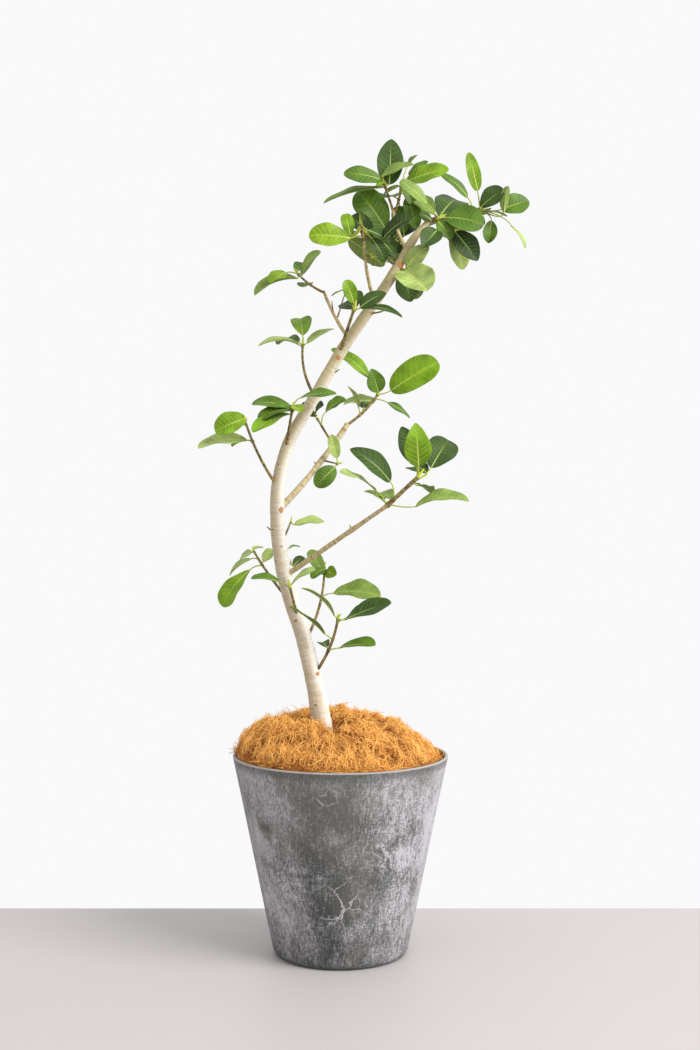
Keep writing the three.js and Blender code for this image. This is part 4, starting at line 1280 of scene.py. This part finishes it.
class BANYAN_OT_coir_core(bpy.types.Operator):
    """Packs the topping's core: a lumpy mound that fills the pot's mouth"""

    bl_idname = "banyan.coir_core"
    bl_label = "Coir core"

    def execute(self, context):
        loft = context.scene.banyan_coir.loft / MM
        colours = context.scene.banyan_colours
        deselect()
        base = POT_TOP.z - MOUND["edge"] * MM
        reach = MOUND["reach"] * MM
        bpy.ops.mesh.primitive_circle_add(
            vertices=CORE_SIDES, radius=reach, fill_type="NGON", location=(0, 0, base - SKIRT)
        )
        core = context.object
        core.name = "coir_core"
        bpy.ops.object.transform_apply(location=True, rotation=False, scale=False)
        bpy.ops.object.mode_set(mode="EDIT")
        bpy.ops.mesh.extrude_region_move(TRANSFORM_OT_translate={"value": (0, 0, SKIRT)})
        for _ in range(CORE_RINGS - 1):
            bpy.ops.mesh.inset(thickness=reach / CORE_RINGS)
        bpy.ops.mesh.poke()
        bpy.ops.mesh.select_all(action="SELECT")
        bpy.ops.mesh.normals_make_consistent(inside=False)
        bpy.ops.object.mode_set(mode="OBJECT")
        places = read_places(core)
        top = places[:, 2] > base / MM - 1
        x, y = places[top, 0], places[top, 1]
        places[top, 2] = tangle_floor(x, y, loft + 1) - RIM_SAG * rim_share(x, y)
        write_places(core, places)
        bpy.ops.object.shade_smooth()
        # The core shows in the gaps between the fibres, from soil brown to orange: partly painted shade
        # in the gaps
        dark, light = colours.soil_brown, colours.coir_orange
        core.data.materials.append(coir_material("coir hollows", dark, light))
        seat(core, "coir", "coir_mound")
        return {"FINISHED"}


# The share of the fibres that lies in a band along the wall, and where that begins on the way out
WALL_SHARE = 0.34
WALL_BAND = 0.88
# The smooth flow that the fibres follow, by the width and seed of its noise and by its turn, and how
# far each lies aside from it, curls along its length and wobbles at each step, all in radians
FLOW = (70, 8)
FLOW_TURN = 3
ASIDE = 0.9
CURL = 0.34
WOBBLE = 0.3
# How high a fibre's middle bows up at the most, from where to where the ends of stray ones rise, and
# how much the tangle is pressed down at the wall, as a share of its loft
BOW = 3
STRAY_RISE = (4, 15)
PRESSED = 0.75


def fibre_lines(count, steps, seed, settings, depth, stray, clump_and_shade):
    """The middle lines of fibres that lie tangled over the mound, in millimetres.

    depth is how high in the tangle they lie, from 0 to 1, stray is the share that stick out, and the
    last argument is how much they keep to the lumps and away from the wall at the front, which paints
    shade into the hollows and above the front of the lip.
    """
    rng = np.random.default_rng(seed)
    many = count * 3
    share = np.sqrt(rng.uniform(0, 1, many))
    walled = rng.uniform(0, 1, many) < WALL_SHARE
    share = np.where(walled, rng.uniform(WALL_BAND, 1, many), share)
    turn = rng.uniform(0, math.tau, many)
    reach = coir_reach(np.cos(turn), np.sin(turn))
    x = reach * share * np.cos(turn)
    y = reach * share * np.sin(turn)
    # Lighter layers keep to high values here: random patches, the lumps more than the hollows, and away
    # from the wall at the front, which paints shade into the hollows and above the front of the lip
    lumps = fields(x, y, CLUMPS) + 0.1 * tufts(x, y) - share**7 * np.clip(-y / reach, 0, 1)
    wanted = np.argsort(rng.normal(0, 0.4, many) - lumps * clump_and_shade)[:count]
    x, y = x[wanted], y[wanted]
    stride = settings.length / MM * rng.uniform(0.25, 1, count) ** 1.2 / (steps - 1)
    flow = noise(np.stack((x, y, np.zeros(count)), axis=-1), *FLOW) * FLOW_TURN
    way = flow + rng.normal(0, ASIDE, count)
    curl = rng.normal(0, CURL, count)
    loft = settings.loft / MM
    lip = POT_TOP.z / MM + 1
    level = loft * (depth + 0.25 * rng.uniform(-1, 1, count))
    bow = rng.uniform(-0.3, 1, count) * BOW
    stray = rng.uniform(0, 1, count) < stray
    rise = np.where(stray, rng.uniform(*STRAY_RISE, count), 0)
    sag = rng.uniform(0, RIM_SAG, count)
    over = rng.uniform(-4, 1, count) + RIM_SPILL * rng.uniform(0, 1, count) ** 4
    lines = []
    for step in range(steps):
        along = step / (steps - 1)
        ground = tangle_floor(x, y, loft)
        near_rim = rim_share(x, y)
        z = ground + level * (1 - PRESSED * near_rim) + bow * np.sin(np.pi * along)
        z = z + rise * along**1.6 - sag * near_rim
        lines.append((x, y, np.where(np.hypot(x, y) > MOUND["reach"] - 1, np.maximum(z, lip), z)))
        way = way + curl + rng.normal(0, WOBBLE, count)
        ahead = tangle_floor(x + np.cos(way), y + np.sin(way), loft)
        move = stride / np.sqrt(1 + np.clip(ahead - ground, -4, 4) ** 2)
        x, y = x + np.cos(way) * move, y + np.sin(way) * move
        spill = over * (1 + np.clip(-x / MOUND["reach"], 0, 1) ** 8)
        held = np.minimum(1, (coir_reach(x, y) + spill) / np.maximum(np.hypot(x, y), 1))
        x, y = x * held, y * held
    return np.stack([np.stack(point, axis=-1) for point in lines], axis=1)


# The layers of fibres from the bottom up: tone, share of all fibres, points along a fibre, how high in
# the tangle they lie, how stout they are, what share sticks out, how much they keep to the lumps and
# away from the wall at the front, and their dark and light colours. The darker layers lie deeper and
# the lighter ones keep to the lumps, which paints shade into the hollows and above the front of the lip
LAYERS = (
    ("brown", 0.42, 4, 0.3, 0.7, 0.05, 0.0, "coir_brown", "coir_orange"),
    ("orange", 0.31, 5, 0.6, 0.75, 0.08, 1.0, "coir_orange", "coir_gold"),
    ("amber", 0.13, 9, 0.85, 0.9, 0.12, 1.5, "coir_orange", "coir_gold"),
    ("gold", 0.14, 9, 1.0, 1.0, 0.12, 2.0, "coir_gold", "coir_gold"),
)


class BANYAN_OT_coir_fibres(bpy.types.Operator):
    """Lays the coconut fibres over the core: brown ones deep, orange ones over them, gold on top"""

    bl_idname = "banyan.coir_fibres"
    bl_label = "Coir fibres"

    def execute(self, context):
        settings = context.scene.banyan_coir
        colours = context.scene.banyan_colours
        for index, (tone, part, steps, depth, stout, stray, clump_and_shade, *ends) in enumerate(LAYERS):
            count = int(settings.fibres * part)
            lines = fibre_lines(count, steps, SEED + index, settings, depth, stray, clump_and_shade)
            rng = np.random.default_rng(SEED + 10 + index)
            thick = settings.thickness / MM / 2 * stout * rng.uniform(0.4, 1.1, (count, 1))
            points, faces = sweep(lines, thick * np.linspace(1, 0.5, steps), 3)
            material = coir_material("coir " + tone, *(getattr(colours, end) for end in ends))
            seat(new_piece("coir_fibres_" + tone, points, faces, [material]), "coir", "coir_mound")
        return {"FINISHED"}


# The limbs by name, the grown shoots and their leaves
LIMBS = grow_limbs()
GROWN = grow_shoots(LIMBS)
add_finer_leaves(GROWN)
shape_leaves(GROWN)
FOLIAGE = ["foliage_" + g.name for g in GROWN]
LEAVES = [leaf for g in GROWN for leaf in g.leaves]
TONES = sorted({leaf.tone for leaf in LEAVES})
# Steps along the trunk's skin and along a bough's, how much a bough swells where it leaves the trunk,
# as a share of its radius, and over what length
TRUNK_STEPS = 160
BOUGH_STEPS = 40
BOUGH_SWELL = 0.35
SWELL_LENGTH = 9
# The way back from the viewer, which with a limb's own way says what is across it
BACK = (0.0, 1.0, 0.0)
# How many points are looked up at a time
BATCH = 6000
# How much a knot is pressed flat along its limb, which a scar isn't
KNOT_FLAT = 0.9
# The bark's rings and the limbs' bulges, by the width, seed and octaves of their noise, how far a
# bulge stands out, and how far along a bough the trunk's bark fades out
RINGS = (7, 21, 3)
BULGES = (60, 22, 2)
BULGE_RISE = 0.45
BARK_FADE = 22


def add_limb(name, limb, steps, swell):
    """A round limb as a mesh, swept along its middle line from a curve."""
    places = np.linspace(0, 1, steps)
    line = limb.place(places) * MM
    bpy.ops.curve.primitive_bezier_curve_add()
    piece = bpy.context.object
    piece.name = name
    curve = piece.data
    curve.splines.clear()
    spline = curve.splines.new("POLY")
    spline.points.add(steps - 1)
    spline.points.foreach_set("co", np.column_stack((line, np.ones(steps))).ravel())
    near_foot = np.exp(-((places * limb.length() / SWELL_LENGTH) ** 2))
    radii = limb.radius(places) + swell * limb.radius(0) * near_foot
    spline.points.foreach_set("radius", radii)
    curve.dimensions = "3D"
    curve.bevel_depth = MM
    curve.bevel_resolution = 5
    curve.use_fill_caps = True
    bpy.ops.object.convert(target="MESH")
    return piece


def limb_places(points):
    """For points in millimetres: the nearest limb's index, and where they lie on it.

    The last answer is the point in the limb's own straight frame: across, back and along.
    """
    best = np.full(len(points), np.inf)
    which = np.zeros(len(points), int)
    local = np.zeros((len(points), 3))
    for index, limb in enumerate(LIMBS.values()):
        t = np.linspace(0, 1, 240)
        line = limb.place(t)
        reach = limb.radius(t)
        along = np.concatenate(([0], np.cumsum(np.linalg.norm(np.diff(line, axis=0), axis=1))))
        for start in range(0, len(points), BATCH):
            part = slice(start, start + BATCH)
            spots = points[part]
            gaps = np.linalg.norm(spots[:, None] - line[None], axis=2) - reach
            near = gaps.argmin(axis=1)
            gap = gaps[np.arange(len(spots)), near]
            tangent = limb.tangent(t[near])
            offset = spots - line[near]
            side = unit(np.cross(tangent, BACK))
            spot = [np.sum(offset * way, 1) for way in (side, np.cross(side, tangent), tangent)]
            spot = np.stack((spot[0], spot[1], along[near] + spot[2]), 1)
            closer = gap < best[part]
            best[part] = np.where(closer, gap, best[part])
            which[part] = np.where(closer, index, which[part])
            local[part] = np.where(closer[:, None], spot, local[part])
    return which, local


def scar_places():
    """Where each scar lies on its limb's skin, which way the limb runs, and the rest of its row."""
    spots = []
    for limb, rows in ((LIMBS[name], rows) for name, rows in SCARS.items()):
        for place, side, *rest in rows:
            share = find_place(limb, place)
            tangent = limb.tangent(share)
            across = unit(np.cross(tangent, BACK))
            out = across * side + np.cross(tangent, across) * math.sqrt(1 - side * side)
            spots.append((limb.place(share) + out * limb.radius(share), tangent, *rest))
    return spots


class BANYAN_OT_bark(bpy.types.Operator):
    """Grows the trunk and its boughs as one skin, with rings, bulges, knots and scars"""

    bl_idname = "banyan.bark"
    bl_label = "Trunk and boughs"

    def execute(self, context):
        settings = context.scene.banyan_plant
        deselect()
        trunk, *boughs = LIMBS.items()
        pieces = [add_limb(trunk[0] + "_bark", trunk[1], TRUNK_STEPS, 0.0)]
        pieces += [add_limb(name + "_bark", bough, BOUGH_STEPS, BOUGH_SWELL) for name, bough in boughs]
        deselect()
        for piece in pieces:
            piece.select_set(True)
        context.view_layer.objects.active = pieces[0]
        bpy.ops.object.join()
        bark = pieces[0]
        apply_modifier(bark, "REMESH", mode="VOXEL", voxel_size=settings.voxel)
        apply_modifier(bark, "SMOOTH", factor=0.5, iterations=6)
        points = read_places(bark)
        count = len(points)
        normals = np.zeros(count * 3, np.float32)
        bark.data.vertex_normals.foreach_get("vector", normals)
        normals = normals.reshape(-1, 3)
        which, local = limb_places(points)
        along = local[:, 2]
        flat = np.stack((local[:, 0] * 0.3, local[:, 1] * 0.3, along), axis=1)
        rise = noise(flat, *RINGS) * settings.ring_relief / MM + noise(points, *BULGES) * BULGE_RISE
        scar, knot = np.zeros(count), np.zeros(count)
        for spot, tangent, size, raised, orange in scar_places():
            offset = points - spot
            pressed = KNOT_FLAT * (1 - orange)
            offset = offset + tangent * (offset @ tangent * pressed)[:, None]
            near = np.exp(-((np.linalg.norm(offset, axis=1) / size) ** 2))
            scar = np.maximum(scar, near * orange)
            knot = np.maximum(knot, near * (1 - orange))
            rise = rise + raised * near
        young = np.array([0.0] + [row[-1] for row in BOUGHS.values()])[which]
        fade = np.clip(along / BARK_FADE, 0, 1)
        young = np.where(which > 0, young * fade * fade * (3 - 2 * fade), 0)
        write_places(bark, points + normals * rise[:, None])
        add_values(bark.data, youth=young, scar=scar, knot=knot)
        layer = bark.data.attributes.new("limb_place", "FLOAT_VECTOR", "POINT")
        layer.data.foreach_set("vector", (local * MM).astype(np.float32).ravel())
        choose(bark)
        bpy.ops.object.shade_smooth()
        bark.data.materials.clear()
        bark.data.materials.append(bark_material(context.scene.banyan_colours))
        seat(bark, "bark", *LIMBS)
        return {"FINISHED"}


STEM_STEPS = 90
STEM_SIDES = 10
# How far a stem swells where a leaf leaves it and over what length, and how far its rings stand out
NODE_SWELL = 0.55
NODE_LENGTH = 2.4
STEM_RINGS = 0.12
# How far a stub's end turns up
STUB_LIFT = np.array((0, 0, 1.5))


def stem_tubes():
    """The shoots' stems, swollen where leaves leave them and ringed between."""
    places = np.linspace(0, 1, STEM_STEPS)
    parts = []
    for index, g in enumerate(GROWN):
        line = g.stem.place(places)
        along = places * g.stem.length()
        radii = g.stem.radius(places)
        for leaf in g.leaves:
            from_node = (along - leaf.along * along[-1]) / NODE_LENGTH
            radii = radii + NODE_SWELL * np.exp(-(from_node**2))
        radii = radii + STEM_RINGS * np.sin(along * 1.7 + index) ** 6
        radii[-1] *= 0.4
        parts.append(sweep(line[None], radii[None], STEM_SIDES))
    return parts


def stub_tubes():
    """The dead ends of fallen twigs."""
    parts = []
    t = np.linspace(0, 1, 12)
    for limb, rows in ((LIMBS[name], rows) for name, rows in STUBS.items()):
        for place, clock, toward, length, thick in rows:
            share = find_place(limb, place)
            reach = float(limb.radius(share)) + length
            line = limb.place(share) + heading(clock, toward) * (reach * t)[:, None]
            line = line + STUB_LIFT * (t * t)[:, None]
            radii = thick / 2 * (1 - 0.3 * t) * (1 + 0.08 * np.sin(t * 19))
            radii[-1] *= 0.7
            parts.append(sweep(line[None], radii[None], 8))
    return parts


class BANYAN_OT_twigs(bpy.types.Operator):
    """Grows the shoots' stems and the dead ends of fallen twigs"""

    bl_idname = "banyan.twigs"
    bl_label = "Twigs"

    def execute(self, context):
        colours = context.scene.banyan_colours
        stems, stubs = stem_tubes(), stub_tubes()
        points, faces = merged(stems + stubs)
        tips = np.concatenate([np.linspace(0, 1, STEM_STEPS).repeat(STEM_SIDES) for _ in stems])
        tips = np.concatenate((tips, np.zeros(len(points) - len(tips))))
        twigs = new_piece("twigs", points, faces, [twig_material(colours)], tip=tips)
        seat(twigs, "bark", *FOLIAGE)
        return {"FINISHED"}


# How many stations a blade has from foot to tip, and where its rows of points lie from edge to edge
BLADE_STATIONS = 26
BLADE_ROWS = (-1, -0.95, -0.72, -0.45, -0.18, 0, 0.18, 0.45, 0.72, 0.95, 1)


def blade_shell(leaf, thick):
    """A leaf's closed shell: its points, its faces, which of them lie underneath, and its UVs."""
    stations = 0.5 - 0.5 * np.cos(np.linspace(0, math.pi, BLADE_STATIONS))
    s, u = np.meshgrid(stations, BLADE_ROWS, indexing="ij")
    upper = blade_places(leaf, s.ravel(), u.ravel(), thick / 2)
    lower = blade_places(leaf, s.ravel(), u.ravel(), -thick / 2)
    rows = len(BLADE_ROWS)
    index = np.arange(BLADE_STATIONS * rows).reshape(BLADE_STATIONS, rows)
    here, right = index[:-1, :-1], index[:-1, 1:]
    ahead, ahead_right = index[1:, :-1], index[1:, 1:]
    top = np.stack((here, ahead, ahead_right, right), axis=-1).reshape(-1, 4)
    under = top[:, ::-1] + index.size
    edge = np.concatenate((index[0, :-1], index[:-1, -1], index[-1, :0:-1], index[:0:-1, 0]))
    following = np.roll(edge, -1)
    rim = np.stack((edge, following, following + index.size, edge + index.size), axis=-1)
    faces = np.vstack((top, rim, under))
    below = np.concatenate((np.zeros(len(top), int), np.ones(len(rim) + len(under), int)))
    uv = np.column_stack((s.ravel(), (u.ravel() + 1) / 2))
    return np.vstack((upper, lower)), [faces], below, np.vstack((uv, uv))


class BANYAN_OT_leaves(bpy.types.Operator):
    """Opens the leaves, a piece for each tone, with their glossy uppers and matt undersides"""

    bl_idname = "banyan.leaves"
    bl_label = "Leaves"

    def execute(self, context):
        thick = context.scene.banyan_plant.blade / MM
        colours = context.scene.banyan_colours
        for tone in TONES:
            shells = [blade_shell(leaf, thick) for leaf in LEAVES if leaf.tone == tone]
            points, faces = merged([shell[:2] for shell in shells])
            below = np.concatenate([shell[2] for shell in shells])
            uv = np.vstack([shell[3] for shell in shells])
            colour = getattr(colours, tone)
            under = [c * 0.45 + d * 0.55 for c, d in zip(colour, colours.under)]
            materials = [
                blade_material(tone + " leaf", colour),
                underside_material(tone + " leaf underside", under),
            ]
            piece = new_piece("leaves_" + tone, points, faces, materials, below, uv)
            seat(piece, "leaves", *FOLIAGE)
        return {"FINISHED"}


# The side veins of each half: how many, where the first and last leave the midrib, how far those of the
# two halves are shifted apart, and how near the margin they run out
SIDE_VEINS = 7
VEIN_STARTS = (0.1, 0.8)
VEIN_SHIFT = 0.022
VEIN_REACH = 0.93
# The tones of the leaves with the yellower veins
PALE_VEINED = ("bright", "lime", "pale")


def midrib_tube(leaf, settings):
    """A leaf's midrib, which stands out on both faces."""
    s = np.linspace(0, 0.96, 18)
    rib = settings.midrib / MM / 2
    line = blade_places(leaf, s, np.zeros_like(s), -settings.blade / MM / 2)
    return sweep(line[None], (rib * (1 - 0.82 * s))[None], 6)


def side_vein_tubes(leaf, settings):
    """A leaf's side veins on both faces: they run out to the margin and turn along it."""
    lift = settings.blade / MM / 2
    thin = settings.side_vein / MM / 2
    t = np.linspace(0, 1, 7)
    lines, radii = [], []
    for index, start in enumerate(np.linspace(*VEIN_STARTS, SIDE_VEINS)):
        for side in (-1, 1):
            run = start + VEIN_SHIFT * side + t * (0.17 - 0.08 * start) + 0.03 * t**3
            reach = side * (VEIN_REACH * t**0.92)
            for face, stout in ((lift, 1), (-lift, 1.5)):
                lines.append(blade_places(leaf, np.minimum(run, 0.97), reach, face))
                radii.append(stout * thin * (1 - 0.72 * t) * (1.15 - 0.3 * index / SIDE_VEINS))
    return sweep(np.array(lines), np.array(radii), 3)


class BANYAN_OT_veins(bpy.types.Operator):
    """Lays the veins on the leaves: clear midribs, and side veins near the leaf's own tone"""

    bl_idname = "banyan.veins"
    bl_label = "Veins"

    def execute(self, context):
        settings = context.scene.banyan_plant
        colours = context.scene.banyan_colours
        for tone in TONES:
            own = [leaf for leaf in LEAVES if leaf.tone == tone]
            ribs = merged([midrib_tube(leaf, settings) for leaf in own])
            sides = merged([side_vein_tubes(leaf, settings) for leaf in own])
            points, faces = merged([ribs, sides])
            rib = colours.vein_yellow if tone in PALE_VEINED else colours.vein_green
            side = [c * 1.3 + d * 0.34 for c, d in zip(getattr(colours, tone), rib)]
            materials = [
                plain_leaf_material(tone + " midrib", rib),
                plain_leaf_material(tone + " side vein", side),
            ]
            rib_faces = sum(len(part) for part in ribs[1])
            shade = (np.arange(sum(len(part) for part in faces)) >= rib_faces).astype(int)
            veins = new_piece("veins_" + tone, points, faces, materials, shade)
            seat(veins, "leaves", *FOLIAGE)
        return {"FINISHED"}


# The line of a stalk or bud in steps from 0 to 1, and how far a stalk runs on under its blade
RUN = np.linspace(0, 1, 14)[:, None]
STALK_RUN = 1.5
# How far each of a growing tip's bud and young leaves stands aside, from 0 for straight on, how wide
# they spread, how they turn up to the light, and how far they bend
BUD_SPREADS = (0, 0.7, 1, 1)
BUD_WIDTH = 2.6
BUD_LIFT = np.array((0, 0, 0.35))
BUD_BEND = 2.5
BUD_SEED = SEED + 300


class BANYAN_OT_stalks(bpy.types.Operator):
    """Joins each leaf to its shoot by a curved stalk, and ends each shoot in a pointed bud"""

    bl_idname = "banyan.stalks"
    bl_label = "Leaf stalks and buds"

    def execute(self, context):
        settings = context.scene.banyan_plant
        colours = context.scene.banyan_colours
        t, thick = RUN, settings.stalk / MM / 2
        radius = thick * (1 + 0.25 * np.exp(-((t[:, 0] * 9) ** 2)) - 0.28 * t[:, 0])
        lines, radii = [], [radius] * len(LEAVES)
        for leaf in LEAVES:
            reach = np.linalg.norm(leaf.foot - leaf.node)
            middle = leaf.foot - leaf.chord * STALK_BEND * reach
            end = leaf.foot + leaf.chord * STALK_RUN
            lines.append(leaf.node * (1 - t) ** 2 + middle * 2 * t * (1 - t) + end * t**2)
        points, faces = sweep(np.array(lines), np.array(radii), 7)
        material = plain_leaf_material("leaf stalk", colours.stalk)
        seat(new_piece("leaf_stalks", points, faces, [material]), "leaves", *FOLIAGE)
        lines, radii = [], []
        for index, g in enumerate(GROWN):
            random = seeded(BUD_SEED + index)
            for spread in BUD_SPREADS:
                long = settings.bud / MM * (0.7 + 0.7 * random()) * (1 - 0.45 * spread)
                aside = np.array((random() - 0.5, random() - 0.5, random() - 0.3))
                way = unit(g.stem.tangent(1.0) + aside * BUD_WIDTH * spread + BUD_LIFT)
                bend = np.array((random() - 0.5, random() - 0.5, 0.2)) * BUD_BEND
                lines.append(g.stem.place(1.0) - way + way * long * t + bend * t**2)
                full = float(g.stem.radius(1.0)) * (1 - 0.4 * spread)
                radii.append(full * (1.05 + 0.25 * np.sin(np.pi * t[:, 0]) - t[:, 0] * 0.93))
        points, faces = sweep(np.array(lines), np.array(radii), 8)
        material = plain_leaf_material("leaf bud", colours.bud, 0.42)
        seat(new_piece("leaf_buds", points, faces, [material]), "leaves", *FOLIAGE)
        return {"FINISHED"}


# The window's light: its place, the size of its square, and the height that it faces, in metres
KEY_PLACE = (4.0, -2.8, 4.0)
KEY_SIZE = 3.6
KEY_AIM = (0, 0, 0.8)
# How far the floor lies under the pot, in metres, and the width of the camera's film in millimetres
FLOOR_DROP = 0.0005
FILM_WIDTH = 36


class BANYAN_OT_stage(bpy.types.Operator):
    """Sets out the pale floor, the bright room, the window's light and the camera"""

    bl_idname = "banyan.stage"
    bl_label = "Stage"

    def execute(self, context):
        scene = context.scene
        stage = scene.banyan_stage
        deselect()
        bpy.ops.mesh.primitive_plane_add(size=1)
        floor = context.object
        floor.name = "studio_floor"
        reach = stage.floor_size
        bpy.ops.object.mode_set(mode="EDIT")
        bpy.ops.transform.resize(value=(reach * 2, reach + stage.floor_back, 1))
        bpy.ops.transform.translate(value=(0, (stage.floor_back - reach) / 2, -FLOOR_DROP))
        bpy.ops.object.mode_set(mode="OBJECT")
        shader = Shader("studio floor", Specular_IOR_Level=0.3, Roughness=0.5)
        worn = shader.noise(shader.place(), 3, 4, 0.6)
        shader.wire("Base Color", shader.mix(worn, stage.floor, tinted(stage.floor, 1.05)))
        floor.data.materials.append(shader.material)
        world = bpy.data.worlds.new("bright room")
        world.use_nodes = True
        room = world.node_tree.nodes["Background"]
        room.inputs["Color"].default_value = (*stage.sky, 1)
        room.inputs["Strength"].default_value = stage.sky_light
        scene.world = world
        bpy.ops.object.light_add(type="AREA", location=KEY_PLACE)
        key = context.object
        key.data.shape = "SQUARE"
        key.data.size = KEY_SIZE
        key.data.energy = stage.key_light
        aim = Vector(KEY_AIM) - key.location
        key.rotation_euler = aim.to_track_quat("-Z", "Y").to_euler()
        bpy.ops.object.camera_add(
            location=(stage.aside, -stage.distance, stage.eye),
            rotation=(math.pi / 2 - stage.pitch, 0, 0),
        )
        camera = context.object
        camera.data.lens = stage.lens
        camera.data.sensor_width = FILM_WIDTH
        scene.camera = camera
        scene.view_settings.view_transform = "Standard"
        return {"FINISHED"}


PIECES = (
    BANYAN_OT_pot,
    BANYAN_OT_soil,
    BANYAN_OT_coir_core,
    BANYAN_OT_coir_fibres,
    BANYAN_OT_bark,
    BANYAN_OT_twigs,
    BANYAN_OT_leaves,
    BANYAN_OT_veins,
    BANYAN_OT_stalks,
    BANYAN_OT_stage,
)
SETTINGS = dict(
    banyan_pot=BanyanPotSettings,
    banyan_coir=BanyanCoirSettings,
    banyan_plant=BanyanPlantSettings,
    banyan_colours=BanyanColours,
    banyan_stage=BanyanStageSettings,
)


class BANYAN_PT_panel(bpy.types.Panel):
    """Lists the pieces in the sidebar"""

    bl_idname = "BANYAN_PT_panel"
    bl_label = "Potted banyan fig"
    bl_space_type = "VIEW_3D"
    bl_region_type = "UI"
    bl_category = "Banyan"

    def draw(self, context):
        for piece in PIECES:
            self.layout.operator(piece.bl_idname)


def register():
    """Registers the settings, the operators and the panel."""
    for name, group in SETTINGS.items():
        bpy.utils.register_class(group)
        setattr(bpy.types.Scene, name, PointerProperty(type=group))
    for part in (*PIECES, BANYAN_PT_panel):
        bpy.utils.register_class(part)


def unregister():
    """Takes the panel, the operators and the settings out again."""
    for part in reversed((*PIECES, BANYAN_PT_panel)):
        bpy.utils.unregister_class(part)
    for name, group in SETTINGS.items():
        delattr(bpy.types.Scene, name)
        bpy.utils.unregister_class(group)


def main():
    """Builds every piece in order."""
    register()
    for piece in PIECES:
        group, name = piece.bl_idname.split(".")
        getattr(getattr(bpy.ops, group), name)()


if __name__ == "__main__":
    main()
